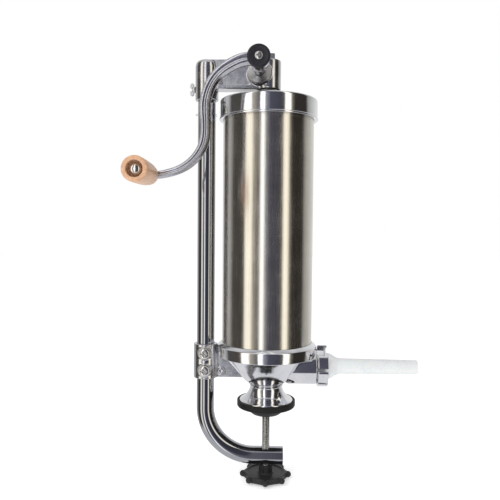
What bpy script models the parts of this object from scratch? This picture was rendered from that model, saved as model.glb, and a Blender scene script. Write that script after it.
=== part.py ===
"""Clamp-on vertical sausage stuffer: a bent tube holds a cylinder, its base and a rack and pinion head.

The frame is metres with +Z up. The origin is on the cylinder's axis, at the foot ring's underside.
+X runs towards the outlet, and the crank is on the -Y side.
"""

import math

import bmesh
import bpy
from mathutils import Matrix, Vector

# Fits
GAP = 0.0003            # between pieces that touch or run in each other
OVERSHOOT = 0.002       # how far a cutter runs past the wall that it cuts
GUIDE_PHASE = 0.37      # share of a facet by which a joined or cutting shape is turned

# Frame tube, bent like a J below the foot
TUBE_X = -0.0768
TUBE_RADIUS = 0.011
TUBE_WALL = 0.002
TUBE_TOP_Z = 0.4230
TUBE_ARM_Z = -0.0639
TUBE_BEND_RADIUS = 0.061
TUBE_END_X = 0.0218

# Cylinder
CYLINDER_RADIUS = 0.056
CYLINDER_WALL = 0.001
CYLINDER_BOTTOM_Z = 0.070
CYLINDER_LENGTH = 0.3065

# Top ring
RING_RADIUS = 0.061
RING_BOTTOM_Z = 0.3600
RING_LIP = 0.0022
UPPER_COLLAR_RADIUS = 0.0155
UPPER_COLLAR_HEIGHT = 0.0170
UPPER_COLLAR_BOTTOM_Z = 0.3630
WEB_HALF = 0.0035
WEB_BOSS_RADIUS = 0.0045

# Base casting
FLANGE_RADIUS = 0.0617
FLANGE_BOTTOM_Z = 0.0650
FLANGE_TOP_Z = 0.0800
SEAT_LEDGE = 0.0018
FOOT_RADIUS = 0.0335
FOOT_BOTTOM_Z = 0.0030
NECK_RADIUS = 0.0205
NECK_Z = 0.0225
LOWER_COLLAR_RADIUS = 0.0150
LOWER_COLLAR_BOTTOM_Z = 0.0350
LOWER_COLLAR_HEIGHT = 0.0435
LOWER_SCREW_ZS = (0.0465, 0.0680)
PAD_BOSS_RADIUS = 0.0085
PAD_BOSS_PROUD = 0.0010

# Foot ring
FOOT_RING_RADIUS = 0.0365
FOOT_RING_HEIGHT = 0.0080
FOOT_RING_HOLE = 0.0250

# Outlet
OUTLET_Z = 0.0512
OUTLET_PIPE_RADIUS = 0.0226
OUTLET_BORE_RADIUS = 0.0170
OUTLET_SHOULDER_X = 0.0619
SPIGOT_RADIUS = 0.0205
SPIGOT_LENGTH = 0.0095
NUT_LENGTH = 0.0148
NUT_RADIUS = 0.0250
NUT_ROOT_RADIUS = 0.0232
NUT_LOBES = 8
NUT_LIP = 0.0026
NOZZLE_CONE_RADIUS = 0.0163
NOZZLE_CONE_LENGTH = 0.0125
NOZZLE_ROOT_RADIUS = 0.0097
NOZZLE_TIP_RADIUS = 0.0087
NOZZLE_TIP_X = 0.1880
NOZZLE_WALL = 0.0013

# Pan head screws of the collars
PAN_RADIUS = 0.0075
PAN_HEIGHT = 0.0045
PAN_SHANK_RADIUS = 0.0040
PAN_REACH = 0.0060      # how deep a shank goes past the tube's wall

# Head casting
SLEEVE_RADIUS = 0.0143
SLEEVE_TOP_Z = 0.4300
SLEEVE_CORNER = 0.0090
HEAD_TOP_Z = 0.4290
HEAD_BOTTOM_Z = 0.3935
HEAD_HALF = 0.0100
HEAD_FLANGE = 0.0055
HEAD_WEB_HALF = 0.0035
RACK_BOSS_RADIUS = 0.0148
RACK_BOSS_CORNER = 0.0020

# Rack and pinion
CRANK_X = -0.0115
CRANK_Z = 0.4120
GEAR_MODULE = 0.0015
PINION_TEETH = 11
GEAR_HALF = 0.0060
BACKLASH = 0.0005
RACK_BACK_X = 0.0070
RACK_TOP_Z = 0.4375
RACK_TOOTH_COUNT = 67

# Crank shaft, its bushes and its boss
SHAFT_RADIUS = 0.0060
BUSH_RADIUS = 0.0102
REAR_BUSH_RADIUS = 0.0085
PINION_BOSS_RADIUS = 0.0146
PINION_BOSS_FRONT_Y = -0.0210
PINION_BOSS_REAR_Y = 0.0150
SHAFT_CAVITY_Y = 0.0070

# Crank arm
HUB_BACK_Y = -0.0590
HUB_FRONT_Y = -0.0795
HUB_RADIUS = 0.0120
HUB_CAP_RADIUS = 0.0131
HUB_CAP_THICKNESS = 0.0024
HUB_SCREW_RADIUS = 0.0045
HUB_SCREW_PROUD = 0.0016
ARM_Y = -0.0700
ARM_HALF_AT_HUB = 0.0082
ARM_HALF_AT_EYE = 0.0042
ARM_HALF_DEPTH = 0.0050
# The arm's curve from the hub to the eye, as (X, Z) from the crank's axis to the grip's axis
ARM_CURVE = (
    (-0.006, 0.000), (-0.021, -0.002), (-0.041, -0.013), (-0.054, -0.029), (-0.060, -0.050),
    (-0.059, -0.074), (-0.061, -0.094), (-0.071, -0.111), (-0.087, -0.123), (-0.107, -0.129),
)
GRIP_OFFSET_X = -0.1220
GRIP_OFFSET_Z = -0.1305
EYE_RADIUS = 0.0085
EYE_BACK_Y = -0.0647
EYE_FRONT_Y = -0.0752

# Grip
GRIP_RADIUS = 0.0135
GRIP_LENGTH = 0.0700
GRIP_RECESS_RADIUS = 0.0085
GRIP_RECESS_DEPTH = 0.0090
GRIP_BOLT_RADIUS = 0.0030
GRIP_BOLT_HEAD_RADIUS = 0.0066
GRIP_BOLT_HEAD_HEIGHT = 0.0062
GRIP_FERRULE_LENGTH = 0.0020
GRIP_NUT_RADIUS = 0.0060
GRIP_NUT_HEIGHT = 0.0045

# Piston
PISTON_BOTTOM_Z = 0.0710
PLATE_THICKNESS = 0.0050
PLATE_MARGIN = 0.0015
GASKET_HEIGHT = 0.0060
PISTON_STUD_RADIUS = 0.0050
PISTON_NUT_RADIUS = 0.0090
PISTON_NUT_HEIGHT = 0.0055
STUD_PROUD = 0.0015
VALVE_X = 0.0300
VALVE_RADIUS = 0.0040
VALVE_CAP_RADIUS = 0.0065
VALVE_CAP_HEIGHT = 0.0020

# Thumb screw in the head's sleeve
THUMB_Z = 0.3942
THUMB_RADIUS = 0.0030
THUMB_WING_HALF = 0.0078
THUMB_WING_DEPTH = 0.0050
THUMB_WING_THICK = 0.0030
THUMB_HUB_RADIUS = 0.0040

# Table clamp
ROD_RADIUS = 0.0050
PAD_RADIUS = 0.0235
PAD_BOTTOM_Z = -0.0100
PAD_RIM_Z = -0.0010
PAD_TOP_RADIUS = 0.0215
KNOB_PLATE_DROP = 0.0241    # from the tube arm's axis down to the middle of the knob's plate
KNOB_PLATE_HALF = 0.0036
KNOB_BALLS = 8
KNOB_BALL_CIRCLE = 0.0286
KNOB_BALL_RADIUS = 0.0041
KNOB_WAIST_RADIUS = 0.0255
KNOB_HUB_RADIUS = 0.0085
KNOB_FOOT = 0.0060      # from the middle of the plate down to the hub's end
KNOB_NUT_RADIUS = 0.0068
KNOB_NUT_HEIGHT = 0.0045

# Places worked out from the sizes above
TUBE_BORE = TUBE_RADIUS + GAP
CYLINDER_BORE = CYLINDER_RADIUS - CYLINDER_WALL
CYLINDER_TOP_Z = CYLINDER_BOTTOM_Z + CYLINDER_LENGTH
SEAT_RADIUS = CYLINDER_RADIUS + GAP
RACK_PITCH = math.pi * GEAR_MODULE
PINION_RADIUS = GEAR_MODULE * PINION_TEETH / 2
PITCH_LINE_X = CRANK_X + PINION_RADIUS
RACK_TIP_X = PITCH_LINE_X - GEAR_MODULE
RACK_ROOT_X = PITCH_LINE_X + 1.25 * GEAR_MODULE
RACK_BASE_Z = PISTON_BOTTOM_Z + 2 * PLATE_THICKNESS + GASKET_HEIGHT + 3 * GAP
GRIP_X = CRANK_X + GRIP_OFFSET_X
GRIP_Z = CRANK_Z + GRIP_OFFSET_Z
NUT_X = OUTLET_SHOULDER_X + GAP
SPIGOT_END_X = OUTLET_SHOULDER_X + SPIGOT_LENGTH
TUBE_ARM_BOTTOM_Z = TUBE_ARM_Z - TUBE_RADIUS
KNOB_PLATE_Z = TUBE_ARM_Z - KNOB_PLATE_DROP
KNOB_BOTTOM_Z = KNOB_PLATE_Z - KNOB_FOOT

TURN = 2 * math.pi
AXES = {
    "X": Matrix.Rotation(math.radians(90), 4, "Y"),
    "-X": Matrix.Rotation(math.radians(-90), 4, "Y"),
    "-Y": Matrix.Rotation(math.radians(90), 4, "X"),
    "Z": Matrix.Identity(4),
}

FINISHES = {
    "chrome": ((0.75, 0.76, 0.78), 0.06, 1.0),
    "steel": ((0.62, 0.61, 0.58), 0.28, 1.0),
    "zinc": ((0.66, 0.66, 0.64), 0.35, 1.0),
    "aluminium": ((0.70, 0.71, 0.73), 0.18, 1.0),
    "bronze": ((0.55, 0.38, 0.18), 0.35, 1.0),
    "rubber": ((0.025, 0.025, 0.024), 0.70, 0.0),
    "plastic": ((0.035, 0.035, 0.038), 0.42, 0.0),
    "silicone": ((0.80, 0.80, 0.78), 0.45, 0.0),
    "nozzle": ((0.85, 0.86, 0.85), 0.30, 0.0),
    "wood": ((0.62, 0.38, 0.22), 0.50, 0.0),
}


def clear_scene():
    for item in list(bpy.data.objects):
        bpy.data.objects.remove(item, do_unlink=True)


def finish(name, kind):
    """A Principled material of the part's own."""
    colour, roughness, metallic = FINISHES[kind]
    material = bpy.data.materials.new(name + "_finish")
    material.use_nodes = True
    shader = material.node_tree.nodes["Principled BSDF"]
    shader.inputs["Base Color"].default_value = (*colour, 1.0)
    shader.inputs["Roughness"].default_value = roughness
    shader.inputs["Metallic"].default_value = metallic
    return material


def new_object(name, bm, kind=None, origin=(0, 0, 0)):
    """Makes the bmesh an object whose origin is the given point. Without a finish it is a guide."""
    bmesh.ops.remove_doubles(bm, verts=bm.verts, dist=1e-6)
    bmesh.ops.recalc_face_normals(bm, faces=bm.faces)
    bmesh.ops.translate(bm, verts=bm.verts, vec=-Vector(origin))
    mesh = bpy.data.meshes.new(name)
    bm.to_mesh(mesh)
    bm.free()
    item = bpy.data.objects.new(name, mesh)
    item.location = origin
    bpy.context.scene.collection.objects.link(item)
    if kind is None:
        item.hide_render = True
        item.display_type = "WIRE"
        return item
    mesh.materials.append(finish(name, kind))
    mesh.shade_smooth()
    mesh.set_sharp_from_angle(angle=math.radians(35))
    return item


def boolean(item, tools, operation):
    for tool in tools:
        step = item.modifiers.new(operation.lower(), "BOOLEAN")
        step.operation = operation
        step.solver = "EXACT"
        step.object = tool
    return item


def join(item, *tools):
    return boolean(item, tools, "UNION")


def cut(item, *tools):
    return boolean(item, tools, "DIFFERENCE")


def turned_mesh(outline, axis="Z", centre=(0, 0, 0), steps=48, closed=False, phase=0.0):
    """Turns an outline of (radius, distance) about an axis through the centre.

    An open outline starts and ends on the axis. A closed one goes round the wall of a hollow piece.
    """
    bm = bmesh.new()
    points = [bm.verts.new((radius, 0, along)) for radius, along in outline]
    pairs = list(zip(points, points[1:]))
    if closed:
        pairs.append((points[-1], points[0]))
    edges = [bm.edges.new(pair) for pair in pairs]
    bmesh.ops.spin(
        bm, geom=edges, cent=(0, 0, 0), axis=(0, 0, 1), angle=TURN, steps=steps, use_merge=True
    )
    bmesh.ops.remove_doubles(bm, verts=bm.verts, dist=1e-6)
    bmesh.ops.dissolve_degenerate(bm, edges=bm.edges, dist=1e-6)
    place = Matrix.Translation(centre) @ AXES[axis] @ Matrix.Rotation(phase, 4, "Z")
    bmesh.ops.transform(bm, verts=bm.verts, matrix=place)
    return bm


def turned(name, outline, kind=None, axis="Z", centre=(0, 0, 0), steps=48, closed=False):
    """A turned piece, or a turned guide with its facets off those of the pieces that it meets."""
    phase = 0.0 if kind else TURN / steps * GUIDE_PHASE
    return new_object(name, turned_mesh(outline, axis, centre, steps, closed, phase), kind)


def rod(name, radius, start, end, kind=None, axis="Z", centre=(0, 0, 0), steps=32, edge=0.0):
    """A plain rod between two distances along an axis, with chamfered ends where edge is set."""
    outline = [(0, start), (radius, start), (radius, end), (0, end)]
    if edge:
        outline[1:3] = [
            (radius - edge, start), (radius, start + edge), (radius, end - edge), (radius - edge, end)
        ]
    return turned(name, outline, kind, axis, centre, steps)


def washer_outline(inner, outer, start, end, edge=0.0):
    """A closed outline of a ring, with its outer corners chamfered where edge is set."""
    if not edge:
        return [(inner, start), (outer, start), (outer, end), (inner, end)]
    return [
        (inner, start), (outer - edge, start), (outer, start + edge),
        (outer, end - edge), (outer - edge, end), (inner, end),
    ]


def block(name, low, high, kind=None, edge=0.0, edge_axis=None, steps=3):
    """A box between two corners, with the edges along one axis rounded."""
    bm = bmesh.new()
    bmesh.ops.create_cube(bm, size=1.0)
    size = Vector(high) - Vector(low)
    middle = (Vector(high) + Vector(low)) / 2
    bmesh.ops.scale(bm, vec=size, verts=bm.verts)
    bmesh.ops.translate(bm, vec=middle, verts=bm.verts)
    if edge:
        along = "XYZ".index(edge_axis)
        chosen = [e for e in bm.edges if abs((e.verts[0].co - e.verts[1].co)[along]) > 1e-6]
        bmesh.ops.bevel(
            bm, geom=chosen, offset=edge, offset_type="OFFSET", affect="EDGES", segments=steps,
            profile=0.5, material=-1,
        )
    return new_object(name, bm, kind)


def prism(name, outline, start, end, plane="XZ", kind=None):
    """An outline extruded: (X, Z) points along Y, (X, Y) points along Z, or (Y, Z) points along X."""
    places = {
        "XZ": lambda a, b: (a, start, b),
        "XY": lambda a, b: (a, b, start),
        "YZ": lambda a, b: (start, a, b),
    }
    pushes = {"XZ": (0, end - start, 0), "XY": (0, 0, end - start), "YZ": (end - start, 0, 0)}
    bm = bmesh.new()
    face = bm.faces.new([bm.verts.new(places[plane](a, b)) for a, b in outline])
    _, moved = parts_of(bmesh.ops.extrude_face_region(bm, geom=[face])["geom"])
    bmesh.ops.translate(bm, verts=moved, vec=pushes[plane])
    return new_object(name, bm, kind)


def set_origin(item, point):
    """Moves an object's origin onto its joint's axis, with its shape left where it is."""
    shift = Vector(point) - item.location
    item.data.transform(Matrix.Translation(-shift))
    item.location = Vector(point)
    return item


def hexagon(radius, x=0.0, y=0.0):
    """The corners of a nut, from the distance between its centre and its flats."""
    corner = radius / math.cos(math.pi / 6)
    angles = [TURN * step / 6 for step in range(6)]
    return [(x + corner * math.cos(angle), y + corner * math.sin(angle)) for angle in angles]


def quarter(centre, radius, start, stop, steps=4):
    """Points of a round corner in an outline, with angles in degrees."""
    angles = [math.radians(start + (stop - start) * step / steps) for step in range(steps + 1)]
    return [(centre[0] + radius * math.cos(a), centre[1] + radius * math.sin(a)) for a in angles]


def parts_of(geometry):
    """The faces and the vertices among what an operator returns."""
    faces = [part for part in geometry if isinstance(part, bmesh.types.BMFace)]
    verts = [part for part in geometry if isinstance(part, bmesh.types.BMVert)]
    return faces, verts


# ---------------------------------------------------------------- frame tube


def make_frame_tube():
    """A flat ring of faces pushed down, spun round the bend and pushed along to the clamp."""
    bm = bmesh.new()
    for radius in (TUBE_RADIUS, TUBE_RADIUS - TUBE_WALL):
        bmesh.ops.create_circle(bm, radius=radius, segments=20)
    bmesh.ops.bridge_loops(bm, edges=bm.edges[:])
    bmesh.ops.translate(bm, verts=bm.verts, vec=(TUBE_X, 0, TUBE_TOP_Z))
    bend_z = TUBE_ARM_Z + TUBE_BEND_RADIUS
    bend_x = TUBE_X + TUBE_BEND_RADIUS
    faces, verts = parts_of(bmesh.ops.extrude_face_region(bm, geom=bm.faces[:])["geom"])
    bmesh.ops.translate(bm, verts=verts, vec=(0, 0, bend_z - TUBE_TOP_Z))
    bent = bmesh.ops.spin(
        bm, geom=faces, cent=(bend_x, 0, bend_z), axis=(0, -1, 0), angle=math.radians(90), steps=10
    )["geom_last"]
    bmesh.ops.delete(bm, geom=faces, context="FACES_ONLY")
    faces, _ = parts_of(bent)
    _, verts = parts_of(bmesh.ops.extrude_face_region(bm, geom=faces)["geom"])
    bmesh.ops.translate(bm, verts=verts, vec=(TUBE_END_X - bend_x, 0, 0))
    bmesh.ops.delete(bm, geom=[face for face in faces if face.is_valid], context="FACES_ONLY")
    tube = new_object("frame_tube", bm, "chrome")
    hole = TUBE_ARM_Z - TUBE_RADIUS - OVERSHOOT, TUBE_ARM_Z + TUBE_RADIUS + OVERSHOOT
    cut(tube, rod("rod_holes", ROD_RADIUS + GAP, *hole, steps=20))
    for number, z in enumerate((*LOWER_SCREW_ZS, upper_screw_z())):
        place = (TUBE_X, 0, z)
        front = rod(
            f"tube_screw_hole_{number}", PAN_SHANK_RADIUS + GAP, 0, TUBE_RADIUS + OVERSHOOT,
            axis="-Y", centre=place, steps=16,
        )
        cut(tube, front)
    return tube


def upper_screw_z():
    return UPPER_COLLAR_BOTTOM_Z + UPPER_COLLAR_HEIGHT / 2


def make_thread_plug():
    """The steel plug in the end of the tube, with the clamp's thread through it."""
    back_x = -0.0150
    plug = rod(
        "thread_plug", TUBE_RADIUS - TUBE_WALL - GAP, back_x, TUBE_END_X - GAP, "zinc",
        axis="X", centre=(0, 0, TUBE_ARM_Z), steps=20, edge=0.0006,
    )
    reach = TUBE_RADIUS + OVERSHOOT
    hole = rod("plug_thread", ROD_RADIUS + GAP, TUBE_ARM_Z - reach, TUBE_ARM_Z + reach, steps=20)
    return cut(plug, hole)


# ---------------------------------------------------------------- collars and their screws


def add_collar(casting, name, radius, low, high, screw_zs, web_outline, web_bosses):
    """Joins a collar for the tube to a casting, with its web and screw bosses, and bores it."""
    place = (TUBE_X, 0, 0)
    collar = rod(name, radius, low, high, centre=place, steps=28, edge=0.0008)
    web = prism(name + "_web", web_outline, -WEB_HALF, WEB_HALF)
    join(casting, web, collar, *web_bosses)
    for number, z in enumerate(screw_zs):
        boss = rod(
            f"{name}_boss_{number}", PAD_BOSS_RADIUS, TUBE_BORE, radius + PAD_BOSS_PROUD,
            axis="-Y", centre=(TUBE_X, 0, z), steps=20,
        )
        join(casting, boss)
    bore = rod(name + "_bore", TUBE_BORE, low - OVERSHOOT, high + OVERSHOOT, centre=place)
    cut(casting, bore)
    for number, z in enumerate(screw_zs):
        hole = rod(
            f"{name}_hole_{number}", PAN_SHANK_RADIUS + GAP, 0, radius + 2 * PAD_BOSS_PROUD,
            axis="-Y", centre=(TUBE_X, 0, z), steps=16,
        )
        cut(casting, hole)


def make_pan_screw(name, z, seat):
    """A pan head screw whose head sits on a collar's boss and whose shank ends in the tube."""
    tip = TUBE_RADIUS - PAN_REACH
    under = seat + GAP
    outline = [(0, tip), (PAN_SHANK_RADIUS, tip), (PAN_SHANK_RADIUS, under), (PAN_RADIUS, under)]
    outline += [(PAN_RADIUS, under + 0.45 * PAN_HEIGHT)]
    outline += [(0.86 * PAN_RADIUS, under + 0.82 * PAN_HEIGHT), (0.55 * PAN_RADIUS, under + PAN_HEIGHT)]
    outline += [(0, under + PAN_HEIGHT)]
    screw = turned(name, outline, "zinc", "-Y", (TUBE_X, 0, z), steps=20)
    front = -(under + PAN_HEIGHT)
    for number, (wide, tall) in enumerate(((0.0048, 0.0011), (0.0011, 0.0048))):
        low = (TUBE_X - wide, front - OVERSHOOT, z - tall)
        high = (TUBE_X + wide, front + 0.5 * PAN_HEIGHT, z + tall)
        cut(screw, block(f"{name}_slot_{number}", low, high))
    return screw


# ---------------------------------------------------------------- cylinder and top ring


def make_cylinder():
    wall = washer_outline(CYLINDER_BORE, CYLINDER_RADIUS, CYLINDER_BOTTOM_Z, CYLINDER_TOP_Z)
    return turned("cylinder", wall, "steel", steps=40, closed=True)


def make_cylinder_seal():
    high = CYLINDER_BOTTOM_Z - GAP
    wall = washer_outline(CYLINDER_BORE, CYLINDER_RADIUS, high - SEAT_LEDGE, high)
    return turned("cylinder_seal", wall, "silicone", steps=40, closed=True)


def make_top_ring():
    shoulder = CYLINDER_TOP_Z + GAP
    top = shoulder + RING_LIP
    bead = 0.0007
    wall = [
        (SEAT_RADIUS, RING_BOTTOM_Z), (RING_RADIUS - 0.001, RING_BOTTOM_Z),
        (RING_RADIUS, RING_BOTTOM_Z + 0.001), (RING_RADIUS, RING_BOTTOM_Z + 0.0022),
        (RING_RADIUS - bead, RING_BOTTOM_Z + 0.0030),
    ]
    wall += quarter((RING_RADIUS - bead - 0.0022, top - 0.0022), 0.0022, 0, 90, 2)
    wall += [(CYLINDER_BORE, top), (CYLINDER_BORE, shoulder), (SEAT_RADIUS, shoulder)]
    ring = turned("top_ring", wall, "aluminium", steps=40, closed=True)
    low = UPPER_COLLAR_BOTTOM_Z
    high = low + UPPER_COLLAR_HEIGHT
    inner = -SEAT_RADIUS - 0.002
    beside_tube = TUBE_X + TUBE_BORE + GAP
    web = [
        (TUBE_X, low + 0.001), (TUBE_X, high - 0.002), (inner, high - 0.004), (inner, RING_BOTTOM_Z + 0.002),
        (inner - 0.003, RING_BOTTOM_Z - 0.004), (beside_tube, RING_BOTTOM_Z - 0.001),
        (beside_tube, low + 0.001),
    ]
    boss = rod(
        "web_boss_top", WEB_BOSS_RADIUS, 0.001, WEB_HALF + 0.003, axis="-Y",
        centre=(-RING_RADIUS - 0.0005, 0, high - 0.0060), steps=16, edge=0.0006,
    )
    add_collar(ring, "upper_collar", UPPER_COLLAR_RADIUS, low, high, [upper_screw_z()], web, [boss])
    return ring


# ---------------------------------------------------------------- base casting


def cone_radius(z):
    """The bowl's outer cone, from under the flange down to the neck."""
    low, high = (0.0350, 0.0315), (FLANGE_BOTTOM_Z, 0.0552)
    return low[1] + (high[1] - low[1]) * (z - low[0]) / (high[0] - low[0])


def make_base_casting():
    foot_top = FOOT_BOTTOM_Z + 0.0048
    outside = [(0, FOOT_BOTTOM_Z), (FOOT_RADIUS, FOOT_BOTTOM_Z), (FOOT_RADIUS, foot_top)]
    outside += [(FOOT_RADIUS - 0.0012, foot_top + 0.0008)]
    outside += [(0.0278, 0.0110), (0.0240, 0.0142), (0.0216, 0.0184), (NECK_RADIUS, NECK_Z)]
    outside += [(0.0212, 0.0262), (0.0236, 0.0296), (0.0275, 0.0324)]
    outside += [(cone_radius(z), z) for z in (0.0350, 0.0500, FLANGE_BOTTOM_Z)]
    outside += [(FLANGE_RADIUS - 0.0015, FLANGE_BOTTOM_Z), (FLANGE_RADIUS, FLANGE_BOTTOM_Z + 0.0015)]
    outside += [(FLANGE_RADIUS, FLANGE_TOP_Z - 0.0030), (FLANGE_RADIUS - 0.0012, FLANGE_TOP_Z - 0.0010)]
    outside += [(SEAT_RADIUS + 0.0012, FLANGE_TOP_Z + 0.0018), (0, FLANGE_TOP_Z + 0.0018)]
    base = turned("base_casting", outside, "aluminium", steps=36)
    pipe = rod(
        "outlet_pipe", OUTLET_PIPE_RADIUS, 0, OUTLET_SHOULDER_X, axis="X",
        centre=(0, 0, OUTLET_Z), steps=28,
    )
    spigot = rod(
        "outlet_spigot", SPIGOT_RADIUS, OUTLET_SHOULDER_X - OVERSHOOT, SPIGOT_END_X, axis="X",
        centre=(0, 0, OUTLET_Z), steps=28,
    )
    join(base, pipe, spigot)
    low = LOWER_COLLAR_BOTTOM_Z
    high = low + LOWER_COLLAR_HEIGHT
    web = [
        (TUBE_X, low + 0.0004), (TUBE_X, high - 0.0015), (-FLANGE_RADIUS + 0.004, high - 0.004),
        (-FLANGE_RADIUS + 0.004, FLANGE_BOTTOM_Z + 0.002), (-0.0240, 0.0480), (-0.0240, low + 0.0004),
    ]
    bosses = []
    for number, (x, z) in enumerate(((-0.0570, 0.0438), (-0.0560, 0.0682))):
        bosses.append(rod(
            f"web_boss_{number}", WEB_BOSS_RADIUS - 0.0005, 0.001, WEB_HALF + 0.0015, axis="-Y",
            centre=(x, 0, z), steps=16, edge=0.0005,
        ))
    add_collar(base, "lower_collar", LOWER_COLLAR_RADIUS, low, high, LOWER_SCREW_ZS, web, bosses)
    ledge = CYLINDER_BOTTOM_Z - SEAT_LEDGE - 2 * GAP
    bowl_radius = CYLINDER_BORE - 0.0015
    bowl = [(0, 0.0340), (0.0150, 0.0340), (0.0235, 0.0365), (bowl_radius - 0.006, 0.0620)]
    bowl += [(bowl_radius, ledge - 0.0012), (bowl_radius, ledge), (SEAT_RADIUS, ledge)]
    bowl += [(SEAT_RADIUS, FLANGE_TOP_Z + 0.01), (0, FLANGE_TOP_Z + 0.01)]
    passage = rod(
        "outlet_bore", OUTLET_BORE_RADIUS, 0, SPIGOT_END_X + OVERSHOOT, axis="X",
        centre=(0, 0, OUTLET_Z), steps=24,
    )
    return cut(base, turned("bowl_hollow", bowl, steps=32), passage)


def make_foot_ring():
    inner = FOOT_RADIUS + GAP
    floor = FOOT_BOTTOM_Z - GAP
    wall = [
        (FOOT_RING_HOLE, 0), (FOOT_RING_RADIUS - 0.0020, 0), (FOOT_RING_RADIUS, 0.0020),
        (FOOT_RING_RADIUS, FOOT_RING_HEIGHT - 0.0008), (FOOT_RING_RADIUS - 0.0008, FOOT_RING_HEIGHT),
        (inner, FOOT_RING_HEIGHT), (inner, floor), (FOOT_RING_HOLE, floor),
    ]
    return turned("foot_ring", wall, "rubber", steps=36, closed=True)


# ---------------------------------------------------------------- outlet nut and nozzle


def make_outlet_nut():
    thread = SPIGOT_RADIUS + GAP
    lip_start = NUT_LENGTH - NUT_LIP
    wall = [
        (thread, 0), (NUT_ROOT_RADIUS, 0), (NUT_ROOT_RADIUS, NUT_LENGTH - 0.0010),
        (NUT_ROOT_RADIUS - 0.0010, NUT_LENGTH), (NOZZLE_CONE_RADIUS + GAP, NUT_LENGTH),
        (NOZZLE_CONE_RADIUS + GAP, lip_start), (thread, lip_start),
    ]
    place = (NUT_X, 0, OUTLET_Z)
    nut = turned("outlet_nut", wall, "aluminium", "X", place, steps=32, closed=True)
    half_width = 0.0062
    for number in range(NUT_LOBES):
        angle = TURN * (number + 0.5) / NUT_LOBES
        lobe = block(
            f"nut_lobe_{number}", (0.0015, -half_width, thread + 0.0008),
            (NUT_LENGTH - 0.0015, half_width, NUT_RADIUS), edge=0.0016, edge_axis="X", steps=2,
        )
        turn = Matrix.Translation(place) @ Matrix.Rotation(angle, 4, "X")
        lobe.data.transform(turn)
        join(nut, lobe)
    return set_origin(nut, place)


def make_nozzle():
    start = SPIGOT_END_X + GAP
    flange_radius = SPIGOT_RADIUS
    flange_end = NUT_X + NUT_LENGTH - NUT_LIP - GAP
    cone_start = NUT_X + NUT_LENGTH
    cone_end = cone_start + NOZZLE_CONE_LENGTH
    tip_bore = NOZZLE_TIP_RADIUS - NOZZLE_WALL
    outline = [
        (OUTLET_BORE_RADIUS - 0.003, start), (flange_radius, start), (flange_radius, flange_end),
        (NOZZLE_CONE_RADIUS, flange_end), (NOZZLE_CONE_RADIUS, cone_start),
        (0.5 * (NOZZLE_CONE_RADIUS + NOZZLE_ROOT_RADIUS) + 0.0008, cone_start + 0.5 * NOZZLE_CONE_LENGTH),
        (NOZZLE_ROOT_RADIUS, cone_end), (NOZZLE_TIP_RADIUS, NOZZLE_TIP_X), (tip_bore, NOZZLE_TIP_X),
        (NOZZLE_ROOT_RADIUS - NOZZLE_WALL, cone_end), (OUTLET_BORE_RADIUS - 0.003, cone_start - 0.001),
    ]
    nozzle = turned("nozzle", outline, "nozzle", "X", (0, 0, OUTLET_Z), steps=24, closed=True)
    return set_origin(nozzle, (start, 0, OUTLET_Z))


# ---------------------------------------------------------------- head casting


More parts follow.
